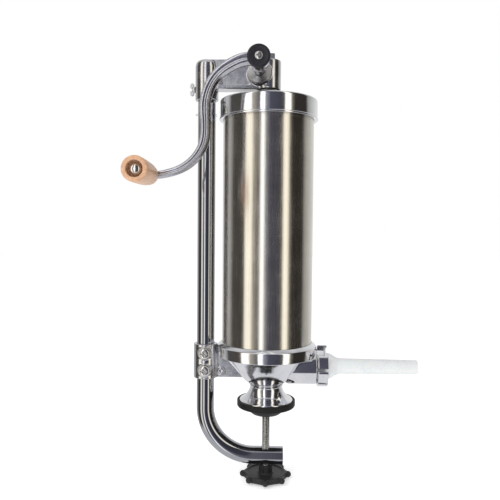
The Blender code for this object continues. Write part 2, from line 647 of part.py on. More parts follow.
def make_head_casting():
    low = UPPER_COLLAR_BOTTOM_Z + UPPER_COLLAR_HEIGHT + GAP
    corner = (SLEEVE_RADIUS - SLEEVE_CORNER, SLEEVE_TOP_Z - SLEEVE_CORNER)
    outline = [(0, low), (SLEEVE_RADIUS - 0.0008, low), (SLEEVE_RADIUS, low + 0.0008)]
    outline += quarter(corner, SLEEVE_CORNER, 0, 90, 6) + [(0, SLEEVE_TOP_Z)]
    head = turned("head_casting", outline, "aluminium", centre=(TUBE_X, 0, 0), steps=28)
    sleeve_bore = rod(
        "sleeve_bore", TUBE_BORE, low - OVERSHOOT, TUBE_TOP_Z + GAP, centre=(TUBE_X, 0, 0)
    )
    screw_hole = rod(
        "thumb_hole", THUMB_RADIUS + GAP, 0.5 * TUBE_RADIUS, SLEEVE_RADIUS + OVERSHOOT, axis="-X",
        centre=(TUBE_X, 0, THUMB_Z), steps=16,
    )
    cut(head, sleeve_bore, screw_hole)
    arm_start_x = TUBE_X + 0.5 * (TUBE_BORE + SLEEVE_RADIUS)
    arm = block(
        "head_arm", (arm_start_x, -HEAD_HALF, HEAD_BOTTOM_Z), (0, HEAD_HALF, HEAD_TOP_Z),
    )
    rack_boss = rod(
        "rack_boss", RACK_BOSS_RADIUS, HEAD_BOTTOM_Z - 0.0008, HEAD_TOP_Z + 0.0006, steps=28,
        edge=RACK_BOSS_CORNER,
    )
    place = (CRANK_X, 0, CRANK_Z)
    pinion_boss = rod(
        "pinion_boss", PINION_BOSS_RADIUS, -PINION_BOSS_REAR_Y, -PINION_BOSS_FRONT_Y, axis="-Y",
        centre=place, steps=28, edge=0.0015,
    )
    recess_low = TUBE_X + SLEEVE_RADIUS + 0.003
    recess_high = CRANK_X - PINION_BOSS_RADIUS + 0.004
    join(head, arm)
    for side in (-1, 1):
        near, far = sorted((side * HEAD_WEB_HALF, side * (HEAD_HALF + OVERSHOOT)))
        recess = block(
            "head_recess_front" if side < 0 else "head_recess_rear",
            (recess_low, near, HEAD_BOTTOM_Z + HEAD_FLANGE),
            (recess_high, far, HEAD_TOP_Z - HEAD_FLANGE), edge=0.003, edge_axis="Y",
        )
        cut(head, recess)
    join(head, rack_boss, pinion_boss)
    rack_way = block(
        "rack_way", (RACK_TIP_X - 2 * GAP, -GEAR_HALF - GAP, HEAD_BOTTOM_Z - 0.01),
        (RACK_BACK_X + GAP, GEAR_HALF + GAP, HEAD_TOP_Z + 0.01),
    )
    cavity = rod(
        "pinion_cavity", BUSH_RADIUS + GAP, -SHAFT_CAVITY_Y, -PINION_BOSS_FRONT_Y + OVERSHOOT,
        axis="-Y", centre=place, steps=24,
    )
    rear_bore = rod(
        "rear_bush_bore", REAR_BUSH_RADIUS + GAP, -PINION_BOSS_REAR_Y - OVERSHOOT, 0,
        axis="-Y", centre=place, steps=24,
    )
    return cut(head, rack_way, cavity, rear_bore)


def make_thumb_screw():
    seat = SLEEVE_RADIUS + GAP
    outline = [(0, TUBE_RADIUS + GAP), (THUMB_RADIUS, TUBE_RADIUS + GAP), (THUMB_RADIUS, seat)]
    outline += [(THUMB_HUB_RADIUS, seat), (THUMB_HUB_RADIUS, seat + 0.0030), (0.0030, seat + 0.0036)]
    outline += [(0, seat + 0.0036)]
    place = (TUBE_X, 0, THUMB_Z)
    screw = turned("thumb_screw", outline, "zinc", "-X", place, steps=20)
    near = TUBE_X - seat - 0.0012
    far = near - THUMB_WING_DEPTH
    for side in (-1, 1):
        low, high = sorted((THUMB_Z + side * 0.0010, THUMB_Z + side * THUMB_WING_HALF))
        wing = block(
            "wing_up" if side > 0 else "wing_down", (far, -THUMB_WING_THICK / 2, low),
            (near, THUMB_WING_THICK / 2, high), edge=0.0018, edge_axis="Y",
        )
        join(screw, wing)
    return set_origin(screw, (TUBE_X - seat, 0, THUMB_Z))


# ---------------------------------------------------------------- rack, pinion and shaft


def make_rack():
    """A bar with straight teeth towards the pinion. A gap of the rack faces the pinion's first tooth."""
    slope = math.tan(math.radians(20))
    half_tooth = RACK_PITCH / 4 - BACKLASH / 2
    tip = half_tooth - GEAR_MODULE * slope
    root = half_tooth + 1.25 * GEAR_MODULE * slope
    first_z = CRANK_Z + 4.5 * RACK_PITCH
    outline = [(RACK_BACK_X, RACK_BASE_Z), (RACK_BACK_X, RACK_TOP_Z - 0.001)]
    outline += [(RACK_BACK_X - 0.001, RACK_TOP_Z), (RACK_ROOT_X, RACK_TOP_Z)]
    for number in range(RACK_TOOTH_COUNT):
        z = first_z - number * RACK_PITCH
        outline += [(RACK_ROOT_X, z + root), (RACK_TIP_X, z + tip)]
        outline += [(RACK_TIP_X, z - tip), (RACK_ROOT_X, z - root)]
    last_z = first_z - RACK_TOOTH_COUNT * RACK_PITCH
    outline += [(RACK_ROOT_X, last_z), (RACK_TIP_X, last_z), (RACK_TIP_X, RACK_BASE_Z)]
    rack = prism("rack", outline, -GEAR_HALF, GEAR_HALF, kind="zinc")
    stud = rod(
        "rack_stud", PISTON_STUD_RADIUS, stud_bottom_z(), RACK_BASE_Z + OVERSHOOT, steps=24
    )
    return set_origin(join(rack, stud), (0, 0, RACK_BASE_Z))


def stud_bottom_z():
    return PISTON_BOTTOM_Z - GAP - PISTON_NUT_HEIGHT - STUD_PROUD


def make_pinion():
    """Eleven teeth with flanks that follow an involute of a 20 degree gear."""
    base_radius = PINION_RADIUS * math.cos(math.radians(20))
    tip_radius = PINION_RADIUS + GEAR_MODULE
    root_radius = PINION_RADIUS - 1.25 * GEAR_MODULE
    half_tooth = (RACK_PITCH / 4 - BACKLASH / 2) / PINION_RADIUS
    pitch_swing = math.tan(math.radians(20)) - math.radians(20)

    def flank(radius):
        """Half the angle that a tooth covers at a radius."""
        pressure = math.acos(min(1.0, base_radius / radius))
        return half_tooth + pitch_swing - (math.tan(pressure) - pressure)

    heights = [base_radius + (tip_radius - base_radius) * share for share in (0, 0.35, 0.7, 1)]
    points = []
    for number in range(PINION_TEETH):
        middle = TURN * number / PINION_TEETH
        up = [(root_radius, middle - flank(base_radius) * 0.82)]
        up += [(radius, middle - flank(radius)) for radius in heights]
        down = [(radius, 2 * middle - angle) for radius, angle in reversed(up)]
        points += up + down
    outline = [
        (CRANK_X + radius * math.cos(angle), CRANK_Z + radius * math.sin(angle))
        for radius, angle in points
    ]
    pinion = prism("pinion", outline, -GEAR_HALF, GEAR_HALF, kind="steel")
    place = (CRANK_X, 0, CRANK_Z)
    bore = rod(
        "pinion_bore", SHAFT_RADIUS - 0.001 + GAP, -0.02, 0.02, axis="-Y", centre=place, steps=24
    )
    return set_origin(cut(pinion, bore), place)


def make_crank_shaft():
    """Turned down where the pinion sits, so that a shoulder locates it, and again for the rear nut."""
    step = 0.001
    front = -HUB_FRONT_Y - 0.0015
    rear = -PINION_BOSS_REAR_Y - 2 * GAP
    outline = [
        (0, rear - 0.0090), (0.0030, rear - 0.0090), (0.0030, rear), (SHAFT_RADIUS - step, rear),
        (SHAFT_RADIUS - step, GEAR_HALF + GAP), (SHAFT_RADIUS, GEAR_HALF + GAP),
        (SHAFT_RADIUS, front), (0, front),
    ]
    place = (CRANK_X, 0, CRANK_Z)
    shaft = turned("crank_shaft", outline, "steel", "-Y", place, steps=20)
    thread = rod(
        "hub_screw_thread", 0.0030 + GAP, front - 0.012, front + OVERSHOOT, axis="-Y", centre=place,
        steps=20,
    )
    return set_origin(cut(shaft, thread), place)


def make_shaft_bushes():
    place = (CRANK_X, 0, CRANK_Z)
    front = washer_outline(
        SHAFT_RADIUS + GAP, BUSH_RADIUS, GEAR_HALF + 2 * GAP, -PINION_BOSS_FRONT_Y - 0.0010
    )
    rear = washer_outline(
        SHAFT_RADIUS - 0.001 + GAP, REAR_BUSH_RADIUS, -PINION_BOSS_REAR_Y, -GEAR_HALF - GAP
    )
    turned("front_bush", front, "bronze", "-Y", place, steps=32, closed=True)
    turned("rear_bush", rear, "bronze", "-Y", place, steps=32, closed=True)


def make_shaft_end():
    """The washer and the nut that keep the shaft in the head."""
    place = (CRANK_X, 0, CRANK_Z)
    start = -PINION_BOSS_REAR_Y - GAP
    disc = washer_outline(0.0030 + GAP, 0.0098, start - 2 * GAP - 0.0016, start - 2 * GAP)
    washer = turned("shaft_washer", disc, "zinc", "-Y", place, steps=28, closed=True)
    set_origin(washer, place)
    near = PINION_BOSS_REAR_Y + 4 * GAP + 0.0016
    nut = prism("shaft_nut", hexagon(0.0050, CRANK_X, CRANK_Z), near, near + 0.0045, kind="zinc")
    hole = rod("shaft_nut_thread", 0.0030 + GAP, -0.04, 0, axis="-Y", centre=place, steps=20)
    set_origin(cut(nut, hole), place)


# ---------------------------------------------------------------- crank and grip


def smooth_path(points, steps):
    """Points along a curve that passes through every given point, as (X, Z)."""
    ends = [2 * points[0] - points[1]] + points + [2 * points[-1] - points[-2]]
    path = []
    for a, b, c, d in zip(ends, ends[1:], ends[2:], ends[3:]):
        for step in range(steps):
            t = step / steps
            path.append(
                0.5 * (2 * b + (c - a) * t + (2 * a - 5 * b + 4 * c - d) * t**2
                       + (3 * b - a - 3 * c + d) * t**3)
            )
    return path + [points[-1]]


def make_crank_arm():
    """The swan neck: an oval section lofted from the hub to the eye."""
    points = [Vector((CRANK_X + x, 0, CRANK_Z + z)) for x, z in ARM_CURVE]
    points.append(Vector((GRIP_X, 0, GRIP_Z)))
    path = smooth_path(points, 2)
    bm = bmesh.new()
    sides = 10
    rings = []
    for number, point in enumerate(path):
        ahead = path[min(number + 1, len(path) - 1)]
        behind = path[max(number - 1, 0)]
        along = (ahead - behind).normalized()
        across = Vector((-along.z, 0, along.x))
        share = number / (len(path) - 1)
        half = ARM_HALF_AT_HUB + (ARM_HALF_AT_EYE - ARM_HALF_AT_HUB) * share
        verts = []
        for side in range(sides):
            angle = TURN * (side + 0.5) / sides
            depth = Vector((0, ARM_HALF_DEPTH * math.sin(angle), 0))
            place = point + across * half * math.cos(angle) + depth
            verts.append(bm.verts.new(place + Vector((0, ARM_Y, 0))))
        rings.append([bm.edges.new((a, b)) for a, b in zip(verts, verts[1:] + verts[:1])])
    for near, far in zip(rings, rings[1:]):
        bmesh.ops.bridge_loops(bm, edges=near + far)
    bmesh.ops.holes_fill(bm, edges=[e for e in bm.edges if e.is_boundary], sides=0)
    arm = new_object("crank_arm", bm, "aluminium")
    hub_place = (CRANK_X, 0, CRANK_Z)
    eye_place = (GRIP_X, 0, GRIP_Z)
    hub = rod(
        "crank_hub", HUB_RADIUS, -HUB_BACK_Y, -HUB_FRONT_Y, axis="-Y", centre=hub_place, steps=24,
        edge=0.001,
    )
    eye = rod(
        "crank_eye", EYE_RADIUS, -EYE_BACK_Y, -EYE_FRONT_Y, axis="-Y", centre=eye_place, steps=20
    )
    join(arm, hub, eye)
    shaft_bore = rod(
        "hub_bore", SHAFT_RADIUS + GAP, -HUB_BACK_Y - OVERSHOOT, -HUB_FRONT_Y + OVERSHOOT, axis="-Y",
        centre=hub_place, steps=20,
    )
    bolt_bore = rod(
        "eye_bore", GRIP_BOLT_RADIUS + GAP, -EYE_BACK_Y - OVERSHOOT, -EYE_FRONT_Y + OVERSHOOT,
        axis="-Y", centre=eye_place, steps=20,
    )
    return set_origin(cut(arm, shaft_bore, bolt_bore), hub_place)


def make_hub_cap():
    place = (CRANK_X, 0, CRANK_Z)
    start = -HUB_FRONT_Y + GAP
    end = start + HUB_CAP_THICKNESS
    disc = washer_outline(0.0030 + GAP, HUB_CAP_RADIUS, start, end, 0.0007)
    set_origin(turned("hub_cap", disc, "plastic", "-Y", place, steps=28, closed=True), place)
    head = end + GAP
    outline = [(0, start - 0.0100), (0.0030, start - 0.0100), (0.0030, head), (HUB_SCREW_RADIUS, head)]
    outline += [(HUB_SCREW_RADIUS * 0.86, head + HUB_SCREW_PROUD * 0.75)]
    outline += [(HUB_SCREW_RADIUS * 0.5, head + HUB_SCREW_PROUD), (0, head + HUB_SCREW_PROUD)]
    screw = turned("hub_screw", outline, "zinc", "-Y", place, steps=20)
    front = -(head + HUB_SCREW_PROUD)
    for number, (wide, tall) in enumerate(((0.0028, 0.0007), (0.0007, 0.0028))):
        low = (CRANK_X - wide, front - OVERSHOOT, CRANK_Z - tall)
        high = (CRANK_X + wide, front + 0.0009, CRANK_Z + tall)
        cut(screw, block(f"hub_screw_slot_{number}", low, high))
    return set_origin(screw, place)


def grip_start():
    return -EYE_FRONT_Y + GRIP_FERRULE_LENGTH + 2 * GAP


def make_grip():
    place = (GRIP_X, 0, GRIP_Z)
    start = grip_start()
    end = start + GRIP_LENGTH
    bore = GRIP_BOLT_RADIUS + GAP
    wall = [(bore, start), (GRIP_RADIUS - 0.0022, start), (GRIP_RADIUS - 0.0012, start + 0.0010)]
    wall += [(GRIP_RADIUS - 0.0002, start + 0.3 * GRIP_LENGTH), (GRIP_RADIUS, end - 0.0016)]
    wall += [(GRIP_RADIUS - 0.0012, end), (GRIP_RECESS_RADIUS + 0.0004, end)]
    wall += [(GRIP_RECESS_RADIUS, end - 0.0006), (GRIP_RECESS_RADIUS, end - GRIP_RECESS_DEPTH)]
    wall += [(bore, end - GRIP_RECESS_DEPTH)]
    set_origin(turned("grip", wall, "wood", "-Y", place, steps=24, closed=True), place)
    ring = washer_outline(bore, GRIP_RADIUS - 0.0030, -EYE_FRONT_Y + GAP, start - GAP)
    set_origin(turned("grip_washer", ring, "zinc", "-Y", place, steps=28, closed=True), place)


def make_grip_bolt():
    place = (GRIP_X, 0, GRIP_Z)
    under = grip_start() + GRIP_LENGTH - GRIP_RECESS_DEPTH + GAP
    back = -EYE_BACK_Y - GAP - GRIP_NUT_HEIGHT - 0.0015
    outline = [(0, back), (GRIP_BOLT_RADIUS, back), (GRIP_BOLT_RADIUS, under)]
    outline += [(GRIP_BOLT_HEAD_RADIUS, under), (GRIP_BOLT_HEAD_RADIUS, under + 0.0012)]
    dome = GRIP_BOLT_HEAD_HEIGHT - 0.0012
    for step in range(1, 5):
        angle = math.radians(90 * step / 5)
        outline.append((GRIP_BOLT_HEAD_RADIUS * math.cos(angle), under + 0.0012 + dome * math.sin(angle)))
    outline.append((0, under + GRIP_BOLT_HEAD_HEIGHT))
    set_origin(turned("grip_bolt", outline, "zinc", "-Y", place, steps=24), place)
    near = EYE_BACK_Y + GAP
    nut = prism(
        "grip_nut", hexagon(GRIP_NUT_RADIUS, GRIP_X, GRIP_Z), near, near + GRIP_NUT_HEIGHT, kind="zinc"
    )
    hole = rod("grip_nut_thread", GRIP_BOLT_RADIUS + GAP, -near - 0.02, -near + 0.02, axis="-Y",
               centre=place, steps=20)
    set_origin(cut(nut, hole), place)


# ---------------------------------------------------------------- piston


def make_piston():
    bore = PISTON_STUD_RADIUS + GAP
    plate = CYLINDER_BORE - PLATE_MARGIN
    place = (0, 0, PISTON_BOTTOM_Z)
    seal_z = PISTON_BOTTOM_Z + PLATE_THICKNESS + GAP
    top_z = seal_z + GASKET_HEIGHT + GAP
    discs = (
        ("piston_plate_lower", PISTON_BOTTOM_Z, PLATE_THICKNESS, plate, "aluminium"),
        ("piston_seal", seal_z, GASKET_HEIGHT, CYLINDER_BORE - GAP, "silicone"),
        ("piston_plate_upper", top_z, PLATE_THICKNESS, plate, "aluminium"),
    )
    for name, low, thickness, radius, kind in discs:
        wall = washer_outline(bore, radius, low, low + thickness)
        disc = turned(name, wall, kind, steps=36, closed=True)
        hole = rod(
            name + "_valve_hole", VALVE_RADIUS + GAP, low - OVERSHOOT, low + thickness + OVERSHOOT,
            centre=(VALVE_X, 0, 0), steps=20,
        )
        set_origin(cut(disc, hole), place)
    nut_top = PISTON_BOTTOM_Z - GAP
    nut = prism(
        "piston_nut", hexagon(PISTON_NUT_RADIUS), nut_top - PISTON_NUT_HEIGHT, nut_top, "XY", "zinc"
    )
    thread = rod("piston_nut_thread", bore, nut_top - 0.02, nut_top + OVERSHOOT, steps=24)
    set_origin(cut(nut, thread), place)
    cap_z = RACK_BASE_Z
    outline = [(0, PISTON_BOTTOM_Z + 0.0005), (VALVE_RADIUS - 0.0006, PISTON_BOTTOM_Z + 0.0005)]
    outline += [(VALVE_RADIUS, PISTON_BOTTOM_Z + 0.0011), (VALVE_RADIUS, cap_z)]
    outline += [(VALVE_CAP_RADIUS, cap_z), (VALVE_CAP_RADIUS - 0.001, cap_z + VALVE_CAP_HEIGHT)]
    outline += [(0, cap_z + VALVE_CAP_HEIGHT)]
    set_origin(turned("air_valve", outline, "rubber", centre=(VALVE_X, 0, 0), steps=20), place)


# ---------------------------------------------------------------- table clamp


def make_clamp_pad():
    """The pressure pad, bored from below for the rod's tip."""
    top = FOOT_BOTTOM_Z - GAP
    outline = [(0, PAD_BOTTOM_Z), (PAD_RADIUS - 0.0060, PAD_BOTTOM_Z)]
    outline += [(PAD_RADIUS - 0.0010, PAD_BOTTOM_Z + 0.0040)]
    outline += [(PAD_RADIUS, PAD_BOTTOM_Z + 0.0060), (PAD_RADIUS, PAD_RIM_Z), (PAD_TOP_RADIUS, top), (0, top)]
    pad = turned("clamp_pad", outline, "plastic", steps=28)
    socket = rod("pad_socket", ROD_RADIUS + GAP, PAD_BOTTOM_Z - OVERSHOOT, rod_top_z() + GAP, steps=24)
    return set_origin(cut(pad, socket), (0, 0, top))


def rod_top_z():
    return PAD_BOTTOM_Z + 0.0075


def make_clamp_rod():
    low = KNOB_BOTTOM_Z + 0.0010
    return rod("clamp_rod", ROD_RADIUS, low, rod_top_z(), "zinc", steps=24, edge=0.0006)


def make_clamp_knob():
    """A plate with a ball at each corner and a hollow curve between balls, on a hub."""
    outline = []
    for number in range(KNOB_BALLS):
        ball = TURN * number / KNOB_BALLS
        for share in (0, 0.25, 0.5, 0.75):
            radius = KNOB_WAIST_RADIUS + (KNOB_BALL_CIRCLE - KNOB_WAIST_RADIUS) * (2 * share - 1) ** 2
            angle = ball + TURN * share / KNOB_BALLS
            outline.append((radius * math.cos(angle), radius * math.sin(angle)))
    plate_low = KNOB_PLATE_Z - KNOB_PLATE_HALF
    plate_high = KNOB_PLATE_Z + KNOB_PLATE_HALF
    knob = prism("clamp_knob", outline, plate_low, plate_high, "XY", "plastic")
    hub = rod("knob_hub", KNOB_HUB_RADIUS, KNOB_BOTTOM_Z, TUBE_ARM_BOTTOM_Z - GAP, steps=20)
    join(knob, hub)
    for number in range(KNOB_BALLS):
        angle = TURN * number / KNOB_BALLS
        bm = bmesh.new()
        bmesh.ops.create_uvsphere(bm, u_segments=8, v_segments=6, radius=KNOB_BALL_RADIUS)
        place = (KNOB_BALL_CIRCLE * math.cos(angle), KNOB_BALL_CIRCLE * math.sin(angle), KNOB_PLATE_Z)
        bmesh.ops.translate(bm, verts=bm.verts, vec=place)
        join(knob, new_object(f"knob_ball_{number}", bm))
    bore = rod("knob_bore", ROD_RADIUS + GAP, KNOB_BOTTOM_Z - 0.01, TUBE_ARM_BOTTOM_Z + 0.01, steps=24)
    cut(knob, bore)
    pocket = prism(
        "nut_pocket", hexagon(KNOB_NUT_RADIUS + GAP), KNOB_BOTTOM_Z - OVERSHOOT,
        KNOB_BOTTOM_Z + KNOB_NUT_HEIGHT + GAP, "XY",
    )
    set_origin(cut(knob, pocket), (0, 0, KNOB_PLATE_Z))
    nut_top = KNOB_BOTTOM_Z + KNOB_NUT_HEIGHT
    nut = prism("knob_nut", hexagon(KNOB_NUT_RADIUS), KNOB_BOTTOM_Z, nut_top, "XY", "zinc")
    thread = rod("knob_nut_thread", ROD_RADIUS + GAP, KNOB_BOTTOM_Z - 0.01, KNOB_BOTTOM_Z + 0.01, steps=24)
    set_origin(cut(nut, thread), (0, 0, KNOB_PLATE_Z))


def main():
    clear_scene()
    make_frame_tube()
    make_thread_plug()
    make_cylinder()
    make_cylinder_seal()
    make_top_ring()
    make_base_casting()
    make_foot_ring()
    for number, z in enumerate(LOWER_SCREW_ZS, 1):
        make_pan_screw(f"lower_collar_screw_{number}", z, LOWER_COLLAR_RADIUS + PAD_BOSS_PROUD)
    make_pan_screw("upper_collar_screw", upper_screw_z(), UPPER_COLLAR_RADIUS + PAD_BOSS_PROUD)
    make_outlet_nut()
    make_nozzle()
    make_head_casting()
    make_thumb_screw()
    make_rack()
    make_pinion()
    make_crank_shaft()
    make_shaft_bushes()
    make_shaft_end()
    make_crank_arm()
    make_hub_cap()
    make_grip()
    make_grip_bolt()
    make_piston()
    make_clamp_pad()
    make_clamp_rod()
    make_clamp_knob()


main()
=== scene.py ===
"""Looks for the clamp-on sausage stuffer: chrome tube, brushed cylinder, polished castings, wood grip."""

import math

import bmesh
import bpy
from mathutils import Matrix, Vector


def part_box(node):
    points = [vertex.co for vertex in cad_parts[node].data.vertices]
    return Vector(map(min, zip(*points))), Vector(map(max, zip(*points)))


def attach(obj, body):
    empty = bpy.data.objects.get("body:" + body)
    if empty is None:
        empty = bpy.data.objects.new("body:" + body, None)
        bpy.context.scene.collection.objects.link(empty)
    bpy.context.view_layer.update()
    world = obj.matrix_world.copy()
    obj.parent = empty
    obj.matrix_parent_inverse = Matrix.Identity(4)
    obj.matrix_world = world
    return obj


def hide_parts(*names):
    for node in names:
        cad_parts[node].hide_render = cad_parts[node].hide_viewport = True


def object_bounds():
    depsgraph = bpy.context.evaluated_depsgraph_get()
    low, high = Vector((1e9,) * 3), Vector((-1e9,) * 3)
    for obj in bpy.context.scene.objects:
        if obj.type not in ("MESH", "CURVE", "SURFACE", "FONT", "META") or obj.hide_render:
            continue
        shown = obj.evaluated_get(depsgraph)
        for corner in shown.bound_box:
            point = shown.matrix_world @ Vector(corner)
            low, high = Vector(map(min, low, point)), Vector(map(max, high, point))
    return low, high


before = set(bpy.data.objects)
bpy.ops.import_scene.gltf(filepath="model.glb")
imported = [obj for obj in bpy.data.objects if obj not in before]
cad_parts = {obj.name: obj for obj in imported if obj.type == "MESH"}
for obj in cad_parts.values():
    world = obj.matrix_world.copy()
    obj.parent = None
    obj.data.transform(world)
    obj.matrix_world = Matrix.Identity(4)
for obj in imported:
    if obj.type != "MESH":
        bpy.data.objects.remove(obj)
cad_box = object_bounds()

TURN = 2 * math.pi
GAP = 0.0003
AXES = {
    "X": Matrix.Rotation(math.radians(90), 4, "Y"),
    "-X": Matrix.Rotation(math.radians(-90), 4, "Y"),
    "-Y": Matrix.Rotation(math.radians(90), 4, "X"),
    "Z": Matrix.Identity(4),
}

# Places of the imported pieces, in metres
TUBE_X = -0.0768
TUBE_RADIUS = 0.011
TUBE_BORE = 0.0113
TUBE_TOP_Z = 0.4230
TUBE_ARM_Z = -0.0639
BEND_RADIUS = 0.061
TUBE_END_X = 0.0218
CYLINDER_RADIUS = 0.056
CYLINDER_BORE = 0.055
SEAT_RADIUS = 0.0563
CYLINDER_LOW, CYLINDER_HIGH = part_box("cylinder")[0].z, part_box("cylinder")[1].z
RING_RADIUS = 0.061
RING_LOW, RING_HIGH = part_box("top_ring")[0].z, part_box("top_ring")[1].z
FLANGE_RADIUS = 0.0617
FLANGE_LOW = 0.0650
FLANGE_HIGH = 0.0800
OUTLET_Z = 0.0512
CRANK = Vector((-0.0115, 0, 0.4120))
GRIP = Vector((-0.1335, 0, 0.2815))
LOWER_SCREWS = (0.0465, 0.0680)
UPPER_SCREW = 0.3715
KNOB_Z = -0.0880
THUMB_Z = 0.3942
WEB_HALF = 0.0035
RING_COLLAR_RADIUS = 0.0155
RING_COLLAR_LOW, RING_COLLAR_HIGH = 0.3630, 0.3800
BASE_COLLAR_RADIUS = 0.0150
BASE_COLLAR_LOW, BASE_COLLAR_HIGH = 0.0350, 0.0785
SCREW_SEAT = 0.0010

# ---------------------------------------------------------------- finishes


def surface(name, colour, dark, roughness, metallic=0.0, stretch=(1, 1, 1), grain=400.0, bump=0.08,
            depth=0.0001, clouds=30.0, waviness=0.0, wear=0.25, lathe=None, **sockets):
    """A finish with a fine grain in colour, roughness and height, and slow smudges over it."""
    material = bpy.data.materials.new(name)
    material.use_nodes = True
    nodes, links = material.node_tree.nodes, material.node_tree.links
    shader = nodes["Principled BSDF"]
    shader.inputs["Metallic"].default_value = metallic
    for socket, value in sockets.items():
        shader.inputs[socket.replace("_", " ")].default_value = value
    place = nodes.new("ShaderNodeTexCoord")
    mapping = nodes.new("ShaderNodeMapping")
    mapping.inputs["Scale"].default_value = stretch
    links.new(place.outputs["Object"], mapping.inputs["Vector"])
    fine = nodes.new("ShaderNodeTexNoise")
    fine.inputs["Scale"].default_value = grain
    fine.inputs["Detail"].default_value = 5.0
    links.new(mapping.outputs["Vector"], fine.inputs["Vector"])
    slow = nodes.new("ShaderNodeTexNoise")
    slow.inputs["Scale"].default_value = clouds
    slow.inputs["Detail"].default_value = 3.0
    links.new(place.outputs["Object"], slow.inputs["Vector"])
    blend = nodes.new("ShaderNodeMath")
    blend.operation = "MULTIPLY_ADD"
    blend.inputs[1].default_value = 0.6
    links.new(fine.outputs["Fac"], blend.inputs[0])
    share = nodes.new("ShaderNodeMath")
    share.operation = "MULTIPLY"
    share.inputs[1].default_value = 0.4
    links.new(slow.outputs["Fac"], share.inputs[0])
    links.new(share.outputs[0], blend.inputs[2])
    tones = nodes.new("ShaderNodeValToRGB")
    tones.color_ramp.elements[0].position = 0.36
    tones.color_ramp.elements[0].color = (*dark, 1.0)
    tones.color_ramp.elements[1].position = 0.62
    tones.color_ramp.elements[1].color = (*colour, 1.0)
    links.new(blend.outputs[0], tones.inputs["Fac"])
    links.new(tones.outputs["Color"], shader.inputs["Base Color"])
    rough = nodes.new("ShaderNodeMapRange")
    rough.inputs["From Min"].default_value = 0.3
    rough.inputs["From Max"].default_value = 0.7
    rough.inputs["To Min"].default_value = roughness * (1 - wear)
    rough.inputs["To Max"].default_value = roughness * (1 + wear)
    links.new(blend.outputs[0], rough.inputs["Value"])
    links.new(rough.outputs["Result"], shader.inputs["Roughness"])
    relief = nodes.new("ShaderNodeBump")
    relief.inputs["Strength"].default_value = bump
    relief.inputs["Distance"].default_value = depth
    links.new(fine.outputs["Fac"], relief.inputs["Height"])
    if waviness:
        swell = nodes.new("ShaderNodeBump")
        swell.inputs["Strength"].default_value = waviness
        swell.inputs["Distance"].default_value = 0.001
        links.new(slow.outputs["Fac"], swell.inputs["Height"])
        links.new(swell.outputs["Normal"], relief.inputs["Normal"])
    links.new(relief.outputs["Normal"], shader.inputs["Normal"])
    if lathe:
        grooves = nodes.new("ShaderNodeTangent")
        grooves.direction_type = "RADIAL"
        grooves.axis = lathe
        links.new(grooves.outputs["Tangent"], shader.inputs["Tangent"])
    return material


CHROME = surface("chrome", (0.43, 0.44, 0.46), (0.39, 0.40, 0.43), 0.035, 1.0, bump=0.01, waviness=0.02)
BRUSHED = surface(
    "brushed_steel", (0.72, 0.69, 0.64), (0.58, 0.555, 0.51), 0.24, 1.0, stretch=(1, 1, 0.012), grain=1500.0,
    bump=0.16, depth=0.00004, wear=0.30, lathe="Z", Anisotropic=0.85, Anisotropic_Rotation=0.25,
)
TURNED_STEEL = surface(
    "turned_steel", (0.78, 0.77, 0.75), (0.62, 0.61, 0.60), 0.13, 1.0, stretch=(0.04, 0.04, 1), grain=1800.0,
    bump=0.10, depth=0.00004,
)
CAST = surface(
    "polished_aluminium", (0.83, 0.83, 0.85), (0.70, 0.71, 0.74), 0.10, 1.0, grain=900.0, bump=0.05,
    depth=0.00006, clouds=45.0, waviness=0.10, wear=0.45,
)
SATIN_CAST = surface(
    "satin_aluminium", (0.70, 0.70, 0.72), (0.54, 0.54, 0.57), 0.20, 1.0, grain=800.0, bump=0.07,
    depth=0.00008, clouds=70.0, waviness=0.14, wear=0.45,
)
ARM_CAST = surface(
    "hand_polished_arm", (0.60, 0.60, 0.64), (0.46, 0.46, 0.50), 0.15, 1.0, grain=500.0, bump=0.04,
    depth=0.00006, clouds=80.0, waviness=0.08,
)
FACED_STEEL = surface(
    "faced_steel", (0.80, 0.79, 0.77), (0.66, 0.65, 0.64), 0.34, 1.0, grain=900.0, bump=0.08, depth=0.00004,
    lathe="Y", Anisotropic=0.90, Anisotropic_Rotation=0.25,
)
SCREW = surface("bright_screw", (0.78, 0.77, 0.74), (0.62, 0.61, 0.58), 0.13, 1.0, grain=1500.0, bump=0.06)
ZINC = surface("zinc_plate", (0.74, 0.74, 0.73), (0.57, 0.57, 0.56), 0.24, 1.0, grain=1500.0, bump=0.12)
MACHINED = surface(
    "machined_steel", (0.55, 0.55, 0.56), (0.42, 0.42, 0.44), 0.24, 1.0, grain=1400.0, bump=0.12,
)
BRONZE = surface("bronze", (0.60, 0.42, 0.20), (0.42, 0.27, 0.12), 0.30, 1.0, grain=1200.0, bump=0.12)
RUBBER = surface(
    "black_rubber", (0.013, 0.013, 0.012), (0.007, 0.007, 0.007), 0.55, grain=1600.0, bump=0.18,
    depth=0.00015, Specular_IOR_Level=0.3,
)
PLASTIC = surface(
    "moulded_plastic", (0.030, 0.029, 0.031), (0.022, 0.021, 0.023), 0.46, grain=1900.0, bump=0.22,
    depth=0.0001, Specular_IOR_Level=0.3,
)
CAP_PLASTIC = surface(
    "cap_plastic", (0.015, 0.015, 0.021), (0.009, 0.009, 0.013), 0.30, grain=1500.0, bump=0.10,
)
SILICONE = surface("white_silicone", (0.80, 0.80, 0.77), (0.72, 0.72, 0.69), 0.45, grain=900.0, bump=0.10)
NOZZLE = surface(
    "milky_plastic", (0.80, 0.82, 0.82), (0.75, 0.77, 0.77), 0.30, grain=500.0, bump=0.03, clouds=60.0,
    Subsurface_Weight=0.15, Subsurface_Scale=0.002,
)
